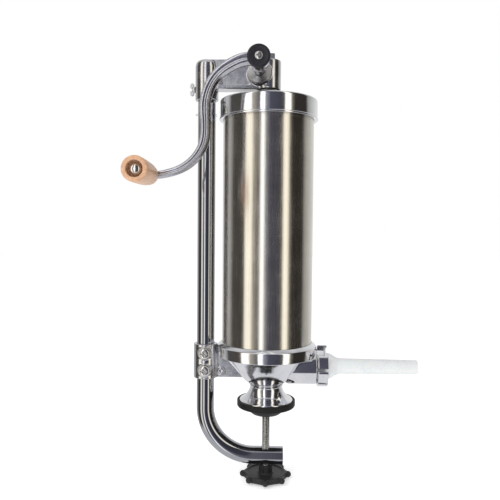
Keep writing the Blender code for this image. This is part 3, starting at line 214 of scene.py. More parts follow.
WOOD = surface(
    "beech_grip", (0.70, 0.42, 0.26), (0.53, 0.30, 0.17), 0.42, stretch=(1, 0.06, 1), grain=330.0, bump=0.10,
    depth=0.0002, clouds=60.0, Coat_Weight=0.25, Coat_Roughness=0.25,
)

# ---------------------------------------------------------------- shaping


def link(name, bm, material=None):
    """An object in place from a bmesh, welded and with its faces turned out."""
    bmesh.ops.remove_doubles(bm, verts=bm.verts, dist=1e-6)
    bmesh.ops.dissolve_degenerate(bm, edges=bm.edges, dist=1e-7)
    bmesh.ops.recalc_face_normals(bm, faces=bm.faces)
    mesh = bpy.data.meshes.new(name)
    bm.to_mesh(mesh)
    bm.free()
    return show(name, mesh, material)


def show(name, mesh, material=None, sharp=32):
    item = bpy.data.objects.new(name, mesh)
    bpy.context.scene.collection.objects.link(item)
    mesh.materials.clear()
    if material:
        mesh.materials.append(material)
    mesh.shade_smooth()
    if sharp:
        mesh.set_sharp_from_angle(angle=math.radians(sharp))
    return item


def soften(outline, steps=4):
    """An outline in which each (radius, distance, reach) corner becomes a curve of that reach."""
    smooth = []
    for number, point in enumerate(outline):
        here = Vector(point[:2])
        if len(point) == 2:
            smooth.append(tuple(here))
            continue
        before = Vector(outline[number - 1][:2])
        after = Vector(outline[(number + 1) % len(outline)][:2])
        start = here + (before - here).normalized() * point[2]
        end = here + (after - here).normalized() * point[2]
        for step in range(steps + 1):
            t = step / steps
            smooth.append(tuple(start * (1 - t) ** 2 + here * 2 * t * (1 - t) + end * t**2))
    return smooth


def turned(name, outline, material=None, axis="Z", centre=(0, 0, 0), steps=96, closed=False):
    """Turns a softened outline of (radius, distance) about an axis through the centre."""
    bm = bmesh.new()
    points = [bm.verts.new((radius, 0, along)) for radius, along in soften(outline)]
    pairs = list(zip(points, points[1:]))
    if closed:
        pairs.append((points[-1], points[0]))
    edges = [bm.edges.new(pair) for pair in pairs]
    bmesh.ops.spin(
        bm, geom=edges, cent=(0, 0, 0), axis=(0, 0, 1), angle=TURN, steps=steps, use_merge=True
    )
    bmesh.ops.transform(bm, verts=bm.verts, matrix=Matrix.Translation(centre) @ AXES[axis])
    return link(name, bm, material)


def rod(name, radius, start, end, axis="Z", centre=(0, 0, 0), steps=64, edge=0.0, material=None):
    corners = [(radius, start), (radius, end)]
    if edge:
        corners = [(radius, start, edge), (radius, end, edge)]
    return turned(name, [(0, start), *corners, (0, end)], material, axis, centre, steps)


def block(name, low, high, edge=0.0, edge_axis="Y", steps=4):
    bm = bmesh.new()
    bmesh.ops.create_cube(bm, size=1.0)
    bmesh.ops.scale(bm, vec=Vector(high) - Vector(low), verts=bm.verts)
    bmesh.ops.translate(bm, vec=(Vector(high) + Vector(low)) / 2, verts=bm.verts)
    if edge:
        along = "XYZ".index(edge_axis)
        chosen = [e for e in bm.edges if abs((e.verts[0].co - e.verts[1].co)[along]) > 1e-6]
        bmesh.ops.bevel(
            bm, geom=chosen, offset=edge, offset_type="OFFSET", affect="EDGES", segments=steps,
            profile=0.5, material=-1,
        )
    return link(name, bm)


def moved_verts(made):
    return [part for part in made["geom"] if isinstance(part, bmesh.types.BMVert)]


def plate(name, outline, half, plane="XZ", middle=0.0):
    """A flat plate of an outline: (X, Z) points with its thickness along Y, or (X, Y) with it along Z."""
    bm = bmesh.new()
    upright = plane == "XZ"
    low = middle - half
    verts = [bm.verts.new((a, low, b) if upright else (a, b, low)) for a, b in outline]
    made = bmesh.ops.extrude_face_region(bm, geom=[bm.faces.new(verts)])
    push = (0, 2 * half, 0) if upright else (0, 0, 2 * half)
    bmesh.ops.translate(bm, verts=moved_verts(made), vec=push)
    return link(name, bm)


def shaped(name, base, add=(), cut=(), material=None, voxel=0.0, passes=10):
    """Joins and cuts shapes into one mesh. A voxel size makes its edges and inner corners round."""
    for tools, operation in ((add, "UNION"), (cut, "DIFFERENCE")):
        for tool in tools:
            step = base.modifiers.new(operation.lower(), "BOOLEAN")
            step.operation = operation
            step.solver = "EXACT"
            step.object = tool
    if voxel:
        grid = base.modifiers.new("grid", "REMESH")
        grid.mode = "VOXEL"
        grid.voxel_size = voxel
        smooth = base.modifiers.new("polish", "SMOOTH")
        smooth.factor = 0.5
        smooth.iterations = passes
    bpy.context.view_layer.update()
    finished = base.evaluated_get(bpy.context.evaluated_depsgraph_get())
    mesh = bpy.data.meshes.new_from_object(finished)
    for item in (base, *add, *cut):
        bpy.data.objects.remove(item, do_unlink=True)
    mesh.name = name
    return show(name, mesh, material, sharp=0 if voxel else 32)


def smooth_path(points, steps):
    """Points along a curve through every given point."""
    ends = [2 * points[0] - points[1]] + points + [2 * points[-1] - points[-2]]
    path = []
    for a, b, c, d in zip(ends, ends[1:], ends[2:], ends[3:]):
        for step in range(steps):
            t = step / steps
            path.append(
                0.5 * (2 * b + (c - a) * t + (2 * a - 5 * b + 4 * c - d) * t**2
                       + (3 * b - a - 3 * c + d) * t**3)
            )
    return path + [points[-1]]


def fit(item, body, slot, *nodes):
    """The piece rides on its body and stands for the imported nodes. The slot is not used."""
    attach(item, body)
    if nodes:
        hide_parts(*nodes)
    return item


# ---------------------------------------------------------------- frame tube and its screws


def make_tube():
    """A ring of faces pushed down from the top, spun round the bend and pushed along to the clamp."""
    bm = bmesh.new()
    for radius in (TUBE_RADIUS, TUBE_RADIUS - 0.0020):
        bmesh.ops.create_circle(bm, radius=radius, segments=64)
    bmesh.ops.bridge_loops(bm, edges=bm.edges[:])
    bmesh.ops.translate(bm, verts=bm.verts, vec=(TUBE_X, 0, TUBE_TOP_Z))
    bend_z = TUBE_ARM_Z + BEND_RADIUS
    bend_x = TUBE_X + BEND_RADIUS
    made = bmesh.ops.extrude_face_region(bm, geom=bm.faces[:])
    faces = [part for part in made["geom"] if isinstance(part, bmesh.types.BMFace)]
    bmesh.ops.translate(bm, verts=moved_verts(made), vec=(0, 0, bend_z - TUBE_TOP_Z))
    bent = bmesh.ops.spin(
        bm, geom=faces, cent=(bend_x, 0, bend_z), axis=(0, -1, 0), angle=math.radians(90), steps=48
    )["geom_last"]
    bmesh.ops.delete(bm, geom=faces, context="FACES_ONLY")
    faces = [part for part in bent if isinstance(part, bmesh.types.BMFace)]
    made = bmesh.ops.extrude_face_region(bm, geom=faces)
    bmesh.ops.translate(bm, verts=moved_verts(made), vec=(TUBE_END_X - bend_x, 0, 0))
    bmesh.ops.delete(bm, geom=[face for face in faces if face.is_valid], context="FACES_ONLY")
    tube = link("tube_blank", bm)
    reach = TUBE_RADIUS + 0.002
    hole = rod("rod_holes", 0.0053, TUBE_ARM_Z - reach, TUBE_ARM_Z + reach, steps=48)
    tube = shaped("chrome_tube", tube, cut=[hole], material=CHROME)
    fit(tube, "frame", "chrome_tube", "frame_tube")


def make_pan_screw(name, z, seat):
    """A cross-recessed pan head on its boss."""
    under = seat + GAP
    outline = [
        (0, 0.005), (0.0038, 0.005), (0.0038, under), (0.0075, under), (0.0075, under + 0.0018, 0.0004),
        (0.0064, under + 0.0040, 0.0010), (0.0042, under + 0.0045, 0.0006), (0, under + 0.0045),
    ]
    head = turned("pan_blank", outline, axis="-Y", centre=(TUBE_X, 0, z), steps=48)
    front = -under - 0.0045
    slots = []
    for wide, tall in ((0.0044, 0.0010), (0.0010, 0.0044)):
        low = (TUBE_X - wide, front - 0.002, z - tall)
        high = (TUBE_X + wide, front + 0.0022, z + tall)
        slots.append(block("slot", low, high, 0.0004))
    dimple = turned(
        "dimple", [(0, under), (0.0030, under + 0.0050), (0, under + 0.0050)], axis="-Y",
        centre=(TUBE_X, 0, z), steps=24,
    )
    screw = shaped(name + "_head", head, cut=[*slots, dimple], material=SCREW)
    fit(screw, "frame", "zinc_hardware", name)


# ---------------------------------------------------------------- cylinder, ring and base


def make_cylinder():
    wall = [
        (CYLINDER_BORE, CYLINDER_LOW), (CYLINDER_RADIUS, CYLINDER_LOW),
        (CYLINDER_RADIUS, CYLINDER_HIGH, 0.0003), (CYLINDER_BORE, CYLINDER_HIGH, 0.0003),
    ]
    tube = turned("brushed_cylinder", wall, BRUSHED, steps=192, closed=True)
    fit(tube, "frame", "brushed_cylinder", "cylinder")
    low, high = (corner.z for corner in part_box("cylinder_seal"))
    seal = [(CYLINDER_BORE, low), (CYLINDER_RADIUS, low), (CYLINDER_RADIUS, high), (CYLINDER_BORE, high)]
    ring = turned("seal_ring", seal, SILICONE, steps=128, closed=True)
    fit(ring, "frame", "white_silicone", "cylinder_seal")


def collar_shapes(radius, low, high, screws):
    """The collar's solids and its cutters."""
    place = (TUBE_X, 0, 0)
    add = [rod("collar", radius, low, high, centre=place, edge=0.0010)]
    cut = [rod("collar_bore", TUBE_BORE, low - 0.002, high + 0.002, centre=place)]
    for z in screws:
        boss = (TUBE_X, 0, z)
        add.append(rod("screw_boss", 0.0082, 0.0, radius + SCREW_SEAT, "-Y", boss, 48, 0.0005))
        cut.append(rod("screw_hole", 0.0043, 0, radius + 0.002, "-Y", boss, 32))
    return add, cut


def make_ring():
    """The top ring, with a bead at its lower edge and its collar joined by a web with two bosses."""
    shoulder = CYLINDER_HIGH + GAP
    wall = [
        (SEAT_RADIUS, RING_LOW), (RING_RADIUS, RING_LOW, 0.0007), (RING_RADIUS, RING_LOW + 0.0019, 0.0006),
        (RING_RADIUS - 0.0007, RING_LOW + 0.0024, 0.0003), (RING_RADIUS - 0.0007, RING_HIGH, 0.0026),
        (CYLINDER_BORE, RING_HIGH, 0.0007), (CYLINDER_BORE, shoulder), (SEAT_RADIUS, shoulder),
    ]
    ring = turned("ring_wall", wall, CAST, steps=192, closed=True)
    fit(ring, "frame", "cast_aluminium", "top_ring")
    low, high = RING_COLLAR_LOW, RING_COLLAR_HIGH
    add, cut = collar_shapes(RING_COLLAR_RADIUS, low, high, [UPPER_SCREW])
    outline = [
        (TUBE_X, low + 0.001), (TUBE_X, high - 0.002), (-0.0585, high - 0.004), (-0.0583, RING_LOW + 0.002),
        (-0.0613, RING_LOW - 0.004), (-0.0652, RING_LOW - 0.001), (-0.0652, low + 0.001),
    ]
    web = plate("web", outline, WEB_HALF)
    boss = rod("web_boss", 0.0045, 0.001, 0.0065, "-Y", (-0.0615, 0, high - 0.006), 32, 0.0006)
    bore = rod("cylinder_clearance", 0.0597, 0.35, 0.39, steps=96)
    collar, *bosses = add
    ear = shaped("ring_ear", collar, [web, *bosses, boss], [*cut, bore], SATIN_CAST, voxel=0.00055)
    fit(ear, "frame", "cast_aluminium")


# The bowl's outside from the foot's edge to under the flange, as (radius, Z)
BOWL_CURVE = (
    (0.0328, 0.0088), (0.0292, 0.0108), (0.0252, 0.0142), (0.0222, 0.0188), (0.0207, 0.0232),
    (0.0212, 0.0270), (0.0242, 0.0308), (0.0287, 0.0345), (0.0355, 0.0430), (0.0422, 0.0512),
    (0.0498, 0.0592), (0.0560, 0.0650),
)


def bowl_hollow(waist, *rim):
    """A cutter along the bowl's inner wall. It keeps the castings out of the room for meat."""
    last = rim[-1][0] if rim else 0.0520
    wall = [(0, 0.02), (waist, 0.02), (0.0262, 0.034), (0.0385, 0.0500), (0.0520, 0.0640), *rim]
    return turned("bowl_hollow", [*wall, (last, 0.09), (0, 0.09)], steps=96)


def make_base():
    """The bowl is turned in one piece. The outlet pipe and the collar's web are cast onto it."""
    outside = [(0, 0.0030), (0.0335, 0.0030), (0.0335, 0.0080, 0.0006)]
    outside += [tuple(point) for point in smooth_path([Vector(point) for point in BOWL_CURVE], 5)]
    outside += [(FLANGE_RADIUS, FLANGE_LOW, 0.0008), (FLANGE_RADIUS, FLANGE_HIGH - 0.0022, 0.0008)]
    outside += [(SEAT_RADIUS + 0.0008, FLANGE_HIGH + 0.0018, 0.0006)]
    inside = [(SEAT_RADIUS, FLANGE_HIGH + 0.0018), (SEAT_RADIUS, 0.0676), (0.0535, 0.0676)]
    inside += [(0.0535, 0.0664, 0.0006), (0.0475, 0.0620, 0.0015), (0.0235, 0.0365, 0.0030), (0, 0.0340)]
    place = (0, 0, OUTLET_Z)
    bowl = turned("bowl_blank", outside + inside, steps=160)
    mouth = rod("outlet_bore", 0.0170, 0, 0.09, "X", place)
    bowl = shaped("base_bowl", bowl, cut=[mouth], material=CAST)
    fit(bowl, "frame", "cast_aluminium", "base_casting")
    pipe = rod("outlet_pipe", 0.0226, 0.0200, 0.0619, "X", place, 96, 0.0008)
    spigot = rod("outlet_spigot", 0.0205, 0.0600, 0.0714, "X", place, 96)
    hollow = bowl_hollow(0.0300)
    mouth = rod("outlet_bore", 0.0170, 0, 0.09, "X", place)
    outlet = shaped("base_outlet", pipe, [spigot], [hollow, mouth], CAST, voxel=0.0006, passes=5)
    fit(outlet, "frame", "cast_aluminium")
    low, high = BASE_COLLAR_LOW, BASE_COLLAR_HIGH
    add, cut = collar_shapes(BASE_COLLAR_RADIUS, low, high, LOWER_SCREWS)
    outline = [
        (TUBE_X, low + 0.0004), (TUBE_X, high - 0.0015), (-0.0577, high - 0.004),
        (-0.0577, FLANGE_LOW + 0.002), (-0.0240, 0.0480), (-0.0240, low + 0.0004),
    ]
    web = plate("base_web", outline, WEB_HALF)
    for x, z in ((-0.0570, 0.0438), (-0.0560, 0.0682)):
        add.append(rod("web_boss", 0.0040, 0.001, 0.0050, "-Y", (x, 0, z), 32, 0.0005))
        cut.append(rod("web_pin", 0.0016, 0.0046, 0.0070, "-Y", (x, 0, z), 24))
    hollow = bowl_hollow(0.0180, (0.0572, 0.0650))
    ear = shaped("base_ear", web, add, [*cut, hollow], SATIN_CAST, voxel=0.0006)
    fit(ear, "frame", "cast_aluminium")
    wall = [
        (0.0250, 0, 0.0006), (0.0362, 0, 0.0016), (0.0365, 0.0020), (0.0365, 0.0080, 0.0006),
        (0.0350, 0.0080, 0.0006), (0.0338, 0.0070), (0.0338, 0.0027), (0.0250, 0.0027),
    ]
    foot = turned("rubber_foot", wall, RUBBER, steps=128, closed=True)
    fit(foot, "frame", "black_rubber", "foot_ring")


# ---------------------------------------------------------------- outlet nut and nozzle


def make_outlet():
    place = (0.0622, 0, OUTLET_Z)
    wall = [
        (0.0208, 0), (0.0232, 0, 0.0006), (0.0232, 0.0148, 0.0010), (0.0166, 0.0148, 0.0005),
        (0.0166, 0.0122), (0.0208, 0.0122),
    ]
    nut = turned("nut_blank", wall, axis="X", centre=place, steps=96, closed=True)
    lobes = []
    for number in range(8):
        lobe = block("lobe", (0.0012, -0.0080, 0.0214), (0.0136, 0.0080, 0.0251), 0.0030, "X")
        spin = Matrix.Rotation(TURN * (number + 0.5) / 8, 4, "X")
        lobe.data.transform(Matrix.Translation(place) @ spin)
        lobes.append(lobe)
    nut = shaped("lobed_nut", nut, lobes, (), CAST, voxel=0.00045, passes=7)
    fit(nut, "outlet_nut", "cast_aluminium", "outlet_nut")
    outline = [
        (0.0140, 0.0717), (0.0205, 0.0717, 0.0004), (0.0205, 0.0741, 0.0004), (0.0163, 0.0741, 0.0004),
        (0.0163, 0.0775, 0.0030), (0.0140, 0.0826, 0.0020), (0.0098, 0.0885, 0.0050),
        (0.0087, 0.1880, 0.0005), (0.0074, 0.1880, 0.0005), (0.0084, 0.0900), (0.0140, 0.0760),
    ]
    tip = turned("milky_nozzle", outline, NOZZLE, "X", (0, 0, OUTLET_Z), 96, True)
    fit(tip, "nozzle", "nozzle_plastic", "nozzle")


# ---------------------------------------------------------------- head, thumb screw and piston


def make_head():
    low, top, bottom = 0.3803, 0.4290, 0.3935
    sleeve = turned(
        "sleeve", [(0, low), (0.0143, low, 0.0010), (0.0143, 0.4300, 0.0085), (0, 0.4300)],
        centre=(TUBE_X, 0, 0), steps=96,
    )
    place = tuple(CRANK)
    arm = block("arm", (-0.0640, -0.0100, bottom), (0, 0.0100, top))
    rack_boss = rod("rack_boss", 0.0148, bottom - 0.0008, top + 0.0006, steps=96, edge=0.0022)
    outline = [(0, -0.0150), (0.0146, -0.0150, 0.0015), (0.0146, 0.0196, 0.0010)]
    pinion_boss = turned("pinion_boss", [*outline, (0, 0.0196)], axis="-Y", centre=place)
    recesses = []
    for near, far in ((-0.0130, -0.0035), (0.0035, 0.0130)):
        corner = (TUBE_X + 0.0173, near, bottom + 0.0055)
        recesses.append(block("recess", corner, (-0.0221, far, top - 0.0055), 0.0030))
    head_arm = shaped("arm_blank", arm, cut=recesses)
    cut = [
        rod("sleeve_bore", TUBE_BORE, low - 0.002, TUBE_TOP_Z + GAP, centre=(TUBE_X, 0, 0)),
        rod("thumb_hole", 0.0033, 0.0055, 0.017, "-X", (TUBE_X, 0, THUMB_Z), 24),
        block("rack_way", (-0.0051, -0.0063, bottom - 0.01), (0.0073, 0.0063, top + 0.01)),
        rod("pinion_cavity", 0.0105, -0.0070, 0.0230, "-Y", place),
        rod("rear_bore", 0.0088, -0.0170, 0, "-Y", place),
    ]
    crown = block("crown", (TUBE_X, -0.0100, 0.4150), (-0.0630, 0.0100, top))
    add = [sleeve, crown, rack_boss, pinion_boss]
    head = shaped("head_body", head_arm, add, cut, SATIN_CAST, voxel=0.00055)
    fit(head, "head", "cast_aluminium", "head_casting")
    liner = [
        (0.0063, 0.0066), (0.0102, 0.0066), (0.0102, 0.0199), (0.0140, 0.0199, 0.0003),
        (0.0140, 0.0210, 0.0006), (0.0063, 0.0210, 0.0003),
    ]
    liner = turned("boss_liner", liner, FACED_STEEL, "-Y", place, 96, True)
    fit(liner, "head", "bronze_bush", "front_bush")
    seat = 0.0146
    outline = [
        (0, 0.0113), (0.0030, 0.0113), (0.0030, seat), (0.0040, seat, 0.0004),
        (0.0040, seat + 0.0030, 0.0008), (0, seat + 0.0036),
    ]
    stem = turned("thumb_stem", outline, axis="-X", centre=(TUBE_X, 0, THUMB_Z), steps=48)
    near = TUBE_X - seat - 0.0012
    wings = []
    for lowest, highest in ((-0.0078, -0.0008), (0.0008, 0.0078)):
        corner = (near - 0.0050, -0.0015, THUMB_Z + lowest)
        wings.append(block("wing", corner, (near, 0.0015, THUMB_Z + highest), 0.0022))
    wing = shaped("wing_screw", stem, wings, (), ZINC, voxel=0.00030, passes=3)
    fit(wing, "thumb_screw", "zinc_hardware", "thumb_screw")


def make_piston():
    for node, material, slot in (
        ("piston_plate_lower", TURNED_STEEL, "cast_aluminium"), ("piston_seal", SILICONE, "white_silicone"),
        ("piston_plate_upper", TURNED_STEEL, "cast_aluminium"),
    ):
        low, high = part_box(node)
        wall = [(0.0053, low.z), (high.x, low.z, 0.0006), (high.x, high.z, 0.0006), (0.0053, high.z)]
        disc = turned(node + "_blank", wall, steps=160, closed=True)
        hole = rod("valve_hole", 0.0043, low.z - 0.001, high.z + 0.001, centre=(0.0300, 0, 0), steps=32)
        disc = shaped(node + "_disc", disc, cut=[hole], material=material)
        fit(disc, "piston", slot, node)


# ---------------------------------------------------------------- crank


# The arm's middle line from the hub's axis, as (X, Z)
ARM_CURVE = (
    (0.000, 0.000), (-0.006, 0.000), (-0.021, -0.002), (-0.041, -0.013), (-0.054, -0.029),
    (-0.060, -0.050), (-0.059, -0.074), (-0.061, -0.094), (-0.071, -0.111), (-0.087, -0.123),
    (-0.107, -0.129), (-0.122, -0.1305),
)
# Shares of the half width and half depth: a broad flat outside, a rib along the inside, a flat back
ARM_SECTION = (
    (-1.0, -0.35), (-0.92, -0.64), (-0.50, -0.74), (-0.04, -0.62), (0.08, -0.80), (0.22, -1.0), (0.54, -1.0),
    (0.68, -0.80), (0.78, -0.54), (0.96, -0.42), (1.0, -0.10), (1.0, 0.40), (0.80, 0.66), (0.30, 0.74),
    (-0.30, 0.74), (-0.80, 0.66), (-1.0, 0.40),
)


def make_arm():
    """The swan neck: one ribbed section pushed along its curve from the hub to the eye."""
    path = smooth_path([CRANK + Vector((x, -0.0700, z)) for x, z in ARM_CURVE], 3)
    bm = bmesh.new()
    section = [bm.verts.new((a, b, 0)) for a, b in ARM_SECTION]
    loop = [bm.edges.new(pair) for pair in zip(section, section[1:] + section[:1])]
    last = Matrix.Identity(4)
    for number, point in enumerate(path):
        along = (path[min(number + 1, len(path) - 1)] - path[max(number - 1, 0)]).normalized()
        across = Vector((-along.z, 0, along.x))
        share = number / (len(path) - 1)
        half = 0.0082 - 0.0040 * share
        turn = Matrix((across * half, Vector((0, 0.0050, 0)), along)).transposed().to_4x4()
        place = Matrix.Translation(point) @ turn
        if number:
            made = bmesh.ops.extrude_edge_only(bm, edges=loop)["geom"]
            section = [part for part in made if isinstance(part, bmesh.types.BMVert)]
            edges = [part for part in made if isinstance(part, bmesh.types.BMEdge)]
            loop = [edge for edge in edges if all(vert in section for vert in edge.verts)]
        bmesh.ops.transform(bm, verts=section, matrix=place @ last.inverted())
        last = place
    bmesh.ops.holes_fill(bm, edges=[edge for edge in bm.edges if edge.is_boundary], sides=0)
    neck = link("neck", bm)
    round_off = neck.modifiers.new("round_off", "SUBSURF")
    round_off.levels = round_off.render_levels = 2
    hub = rod("hub", 0.0120, 0.0590, 0.0795, "-Y", tuple(CRANK), 96, 0.0012)
    eye = rod("eye", 0.0085, 0.0647, 0.0752, "-Y", tuple(GRIP), 64, 0.0008)
    bores = [
        rod("hub_bore", 0.0063, 0.057, 0.081, "-Y", tuple(CRANK)),
        rod("eye_bore", 0.0033, 0.062, 0.078, "-Y", tuple(GRIP)),
    ]
    arm = shaped("swan_neck_arm", neck, [hub, eye], bores, ARM_CAST)
    fit(arm, "crank", "cast_aluminium", "crank_arm")
    place = tuple(CRANK)
    start = 0.0798
    disc = [
        (0.0033, start), (0.0131, start, 0.0003), (0.0131, start + 0.0024, 0.0010),
        (0.0098, start + 0.0024, 0.0005), (0.0092, start + 0.0019, 0.0004), (0.0033, start + 0.0019),
    ]
    cap = turned("hub_disc", disc, CAP_PLASTIC, "-Y", place, 96, True)
    fit(cap, "crank", "black_plastic", "hub_cap")
    head = start + 0.0027
    outline = [
        (0, 0.0698), (0.0030, 0.0698), (0.0030, head), (0.0045, head, 0.0002),
        (0.0045, head + 0.0010, 0.0006), (0.0028, head + 0.0016, 0.0008), (0, head + 0.0016),
    ]
    screw = turned("hub_screw_blank", outline, None, "-Y", place, 48)
    front = -head - 0.0016
    slots = []
    for wide, tall in ((0.0028, 0.0007), (0.0007, 0.0028)):
        low = (CRANK.x - wide, front - 0.002, CRANK.z - tall)
        slots.append(block("slot", low, (CRANK.x + wide, front + 0.0009, CRANK.z + tall)))
    screw = shaped("hub_screw_head", screw, cut=slots, material=SCREW)
    fit(screw, "crank", "zinc_hardware", "hub_screw")
    shaft = [
        (0, -0.0246), (0.0030, -0.0246, 0.0005), (0.0030, -0.0156), (0.0050, -0.0156),
        (0.0050, 0.0063), (0.0060, 0.0063), (0.0060, 0.0780, 0.0005), (0, 0.0780),
    ]
    shaft = turned("turned_shaft", shaft, MACHINED, "-Y", place, 64)
    fit(shaft, "crank", "machined_steel", "crank_shaft")


def make_grip():
    place = tuple(GRIP)
    start, end = 0.0778, 0.1478
    wall = [
        (0.0033, start), (0.0113, start, 0.0012), (0.0129, start + 0.018, 0.0060),
        (0.0135, start + 0.045, 0.0080), (0.0135, end, 0.0018), (0.0087, end, 0.0008),
        (0.0085, end - 0.0090), (0.0033, end - 0.0090),
    ]
    grip = turned("turned_grip", wall, WOOD, "-Y", place, 96, True)
    fit(grip, "grip", "grip_wood", "grip")
    ring = [(0.0033, 0.0755), (0.0105, 0.0755, 0.0004), (0.0105, 0.0775, 0.0004), (0.0033, 0.0775)]
    ferrule = turned("grip_ferrule", ring, ZINC, "-Y", place, 64, True)
    fit(ferrule, "crank", "zinc_hardware", "grip_washer")
    under = end - 0.0087
    outline = [
        (0, 0.0585), (0.0030, 0.0585), (0.0030, under), (0.0066, under, 0.0003),
        (0.0066, under + 0.0042, 0.0026), (0.0024, under + 0.0062, 0.0016), (0, under + 0.0062),
    ]
    bolt = turned("dome_bolt", outline, SCREW, "-Y", place, 64)
    fit(bolt, "crank", "zinc_hardware", "grip_bolt")


# ---------------------------------------------------------------- table clamp


def make_clamp():
    """The dished pad, its threaded rod and the star knob."""
    top = 0.0027
    outline = [
        (0, -0.0100), (0.0170, -0.0100, 0.0015), (0.0222, -0.0058, 0.0012), (0.0235, -0.0030, 0.0010),
        (0.0235, -0.0008, 0.0006), (0.0215, top, 0.0006), (0, top),
    ]
    pad = turned("pad_blank", outline, steps=96)
    socket = rod("socket", 0.0053, -0.012, -0.0022, steps=32)
    pad = shaped("pressure_pad", pad, cut=[socket], material=PLASTIC)
    fit(pad, "clamp_pad", "black_plastic", "clamp_pad")
    make_threaded_rod(0.0015, -0.0930, -0.0025)
    make_star_knob(8)


def make_threaded_rod(pitch, low, high, steps=32):
    """A thread's profile screwed upwards, with its ends cut flat."""
    bm = bmesh.new()
    turns = round((high - low) / pitch) + 3
    points = []
    for number in range(turns):
        z = low + (number - 2) * pitch
        for radius, rise in ((0.00436, 0.0), (0.00497, 0.42), (0.00497, 0.58)):
            points.append(bm.verts.new((radius, 0, z + rise * pitch)))
    edges = [bm.edges.new(pair) for pair in zip(points, points[1:])]
    bmesh.ops.spin(
        bm, geom=edges, cent=(0, 0, 0), axis=(0, 0, 1), dvec=(0, 0, pitch / steps), angle=TURN, steps=steps
    )
    bmesh.ops.remove_doubles(bm, verts=bm.verts, dist=2e-6)
    for z, outer in ((low, False), (high, True)):
        everything = [*bm.verts, *bm.edges, *bm.faces]
        bmesh.ops.bisect_plane(
            bm, geom=everything, dist=1e-7, plane_co=(0, 0, z), plane_no=(0, 0, 1), clear_outer=outer,
            clear_inner=not outer,
        )
        ends = [e for e in bm.edges if e.is_boundary and all(abs(v.co.z - z) < 1e-6 for v in e.verts)]
        bmesh.ops.holes_fill(bm, edges=ends, sides=0)
    fit(link("threaded_rod", bm, ZINC), "clamp_screw", "zinc_hardware", "clamp_rod")


def make_star_knob(points, steps=8):
    """A scalloped plate with a ball on each point, a ribbed hub, grooved faces and the nut's pocket."""
    outline = []
    for number in range(points):
        for step in range(steps):
            share = step / steps
            radius = 0.0255 + 0.0031 * (2 * share - 1) ** 2
            angle = TURN * (number + share) / points
            outline.append((radius * math.cos(angle), radius * math.sin(angle)))
    knob = plate("knob_plate", outline, 0.0036, "XY", KNOB_Z)
    hub = [
        (0, -0.0940), (0.0085, -0.0940, 0.0010), (0.0085, -0.0860), (0.0072, -0.0752, 0.0006), (0, -0.0752),
    ]
    add = [turned("knob_hub", hub, steps=64)]
    for number in range(points):
        angle = TURN * number / points
        bm = bmesh.new()
        bmesh.ops.create_uvsphere(bm, u_segments=24, v_segments=16, radius=0.0040)
        place = (0.0286 * math.cos(angle), 0.0286 * math.sin(angle), KNOB_Z)
        bmesh.ops.translate(bm, verts=bm.verts, vec=place)
        add.append(link("ball", bm))
        turn = Matrix.Rotation(angle + TURN / (2 * points), 4, "Z")
        rib = block("rib", (0.0064, -0.0009, -0.0862), (0.0092, 0.0009, -0.0757), 0.0006, "Z")
        rib.data.transform(turn)
        add.append(rib)
    hollow = []
    for side in (-1, 1):
        wall = [(0.0100, 0), (0.0228, 0), (0.0228, 0.0030), (0.0100, 0.0030)]
        place = (0, 0, KNOB_Z - 0.0015 + side * 0.0039)
        hollow.append(turned("pocket", wall, centre=place, steps=64, closed=True))
    bore = rod("knob_bore", 0.0053, -0.100, -0.070, steps=48)
    pocket = rod("nut_pocket", 0.0081, -0.0960, -0.0892, steps=6)
    knob = shaped("star_knob", knob, add, [*hollow, bore, pocket], PLASTIC, voxel=0.00045, passes=3)
    fit(knob, "clamp_screw", "black_plastic", "clamp_knob")


def paint_packed_nodes():
    """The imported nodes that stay, each with its finish."""
    for material, slot, names in (
        (ZINC, "zinc_hardware", ("thread_plug", "shaft_washer", "shaft_nut")),
        (ZINC, "zinc_hardware", ("grip_nut", "piston_nut", "knob_nut")),
        (TURNED_STEEL, "machined_steel", ("rack", "pinion")),
        (BRONZE, "bronze_bush", ("rear_bush",)),
        (RUBBER, "black_rubber", ("air_valve",)),
    ):
        for name in names:
            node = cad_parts[name]
            node.data.materials.clear()
            node.data.materials.append(material)


# ---------------------------------------------------------------- studio


def ramp_node(nodes, stops):
    """A colour ramp through (position, colour) stops."""
    ramp = nodes.new("ShaderNodeValToRGB")
    elements = ramp.color_ramp.elements
    while len(elements) < len(stops):
        elements.new(0.5)
    for element, (position, colour) in zip(elements, stops):
        element.position = position
        element.color = (*colour, 1.0)
    return ramp


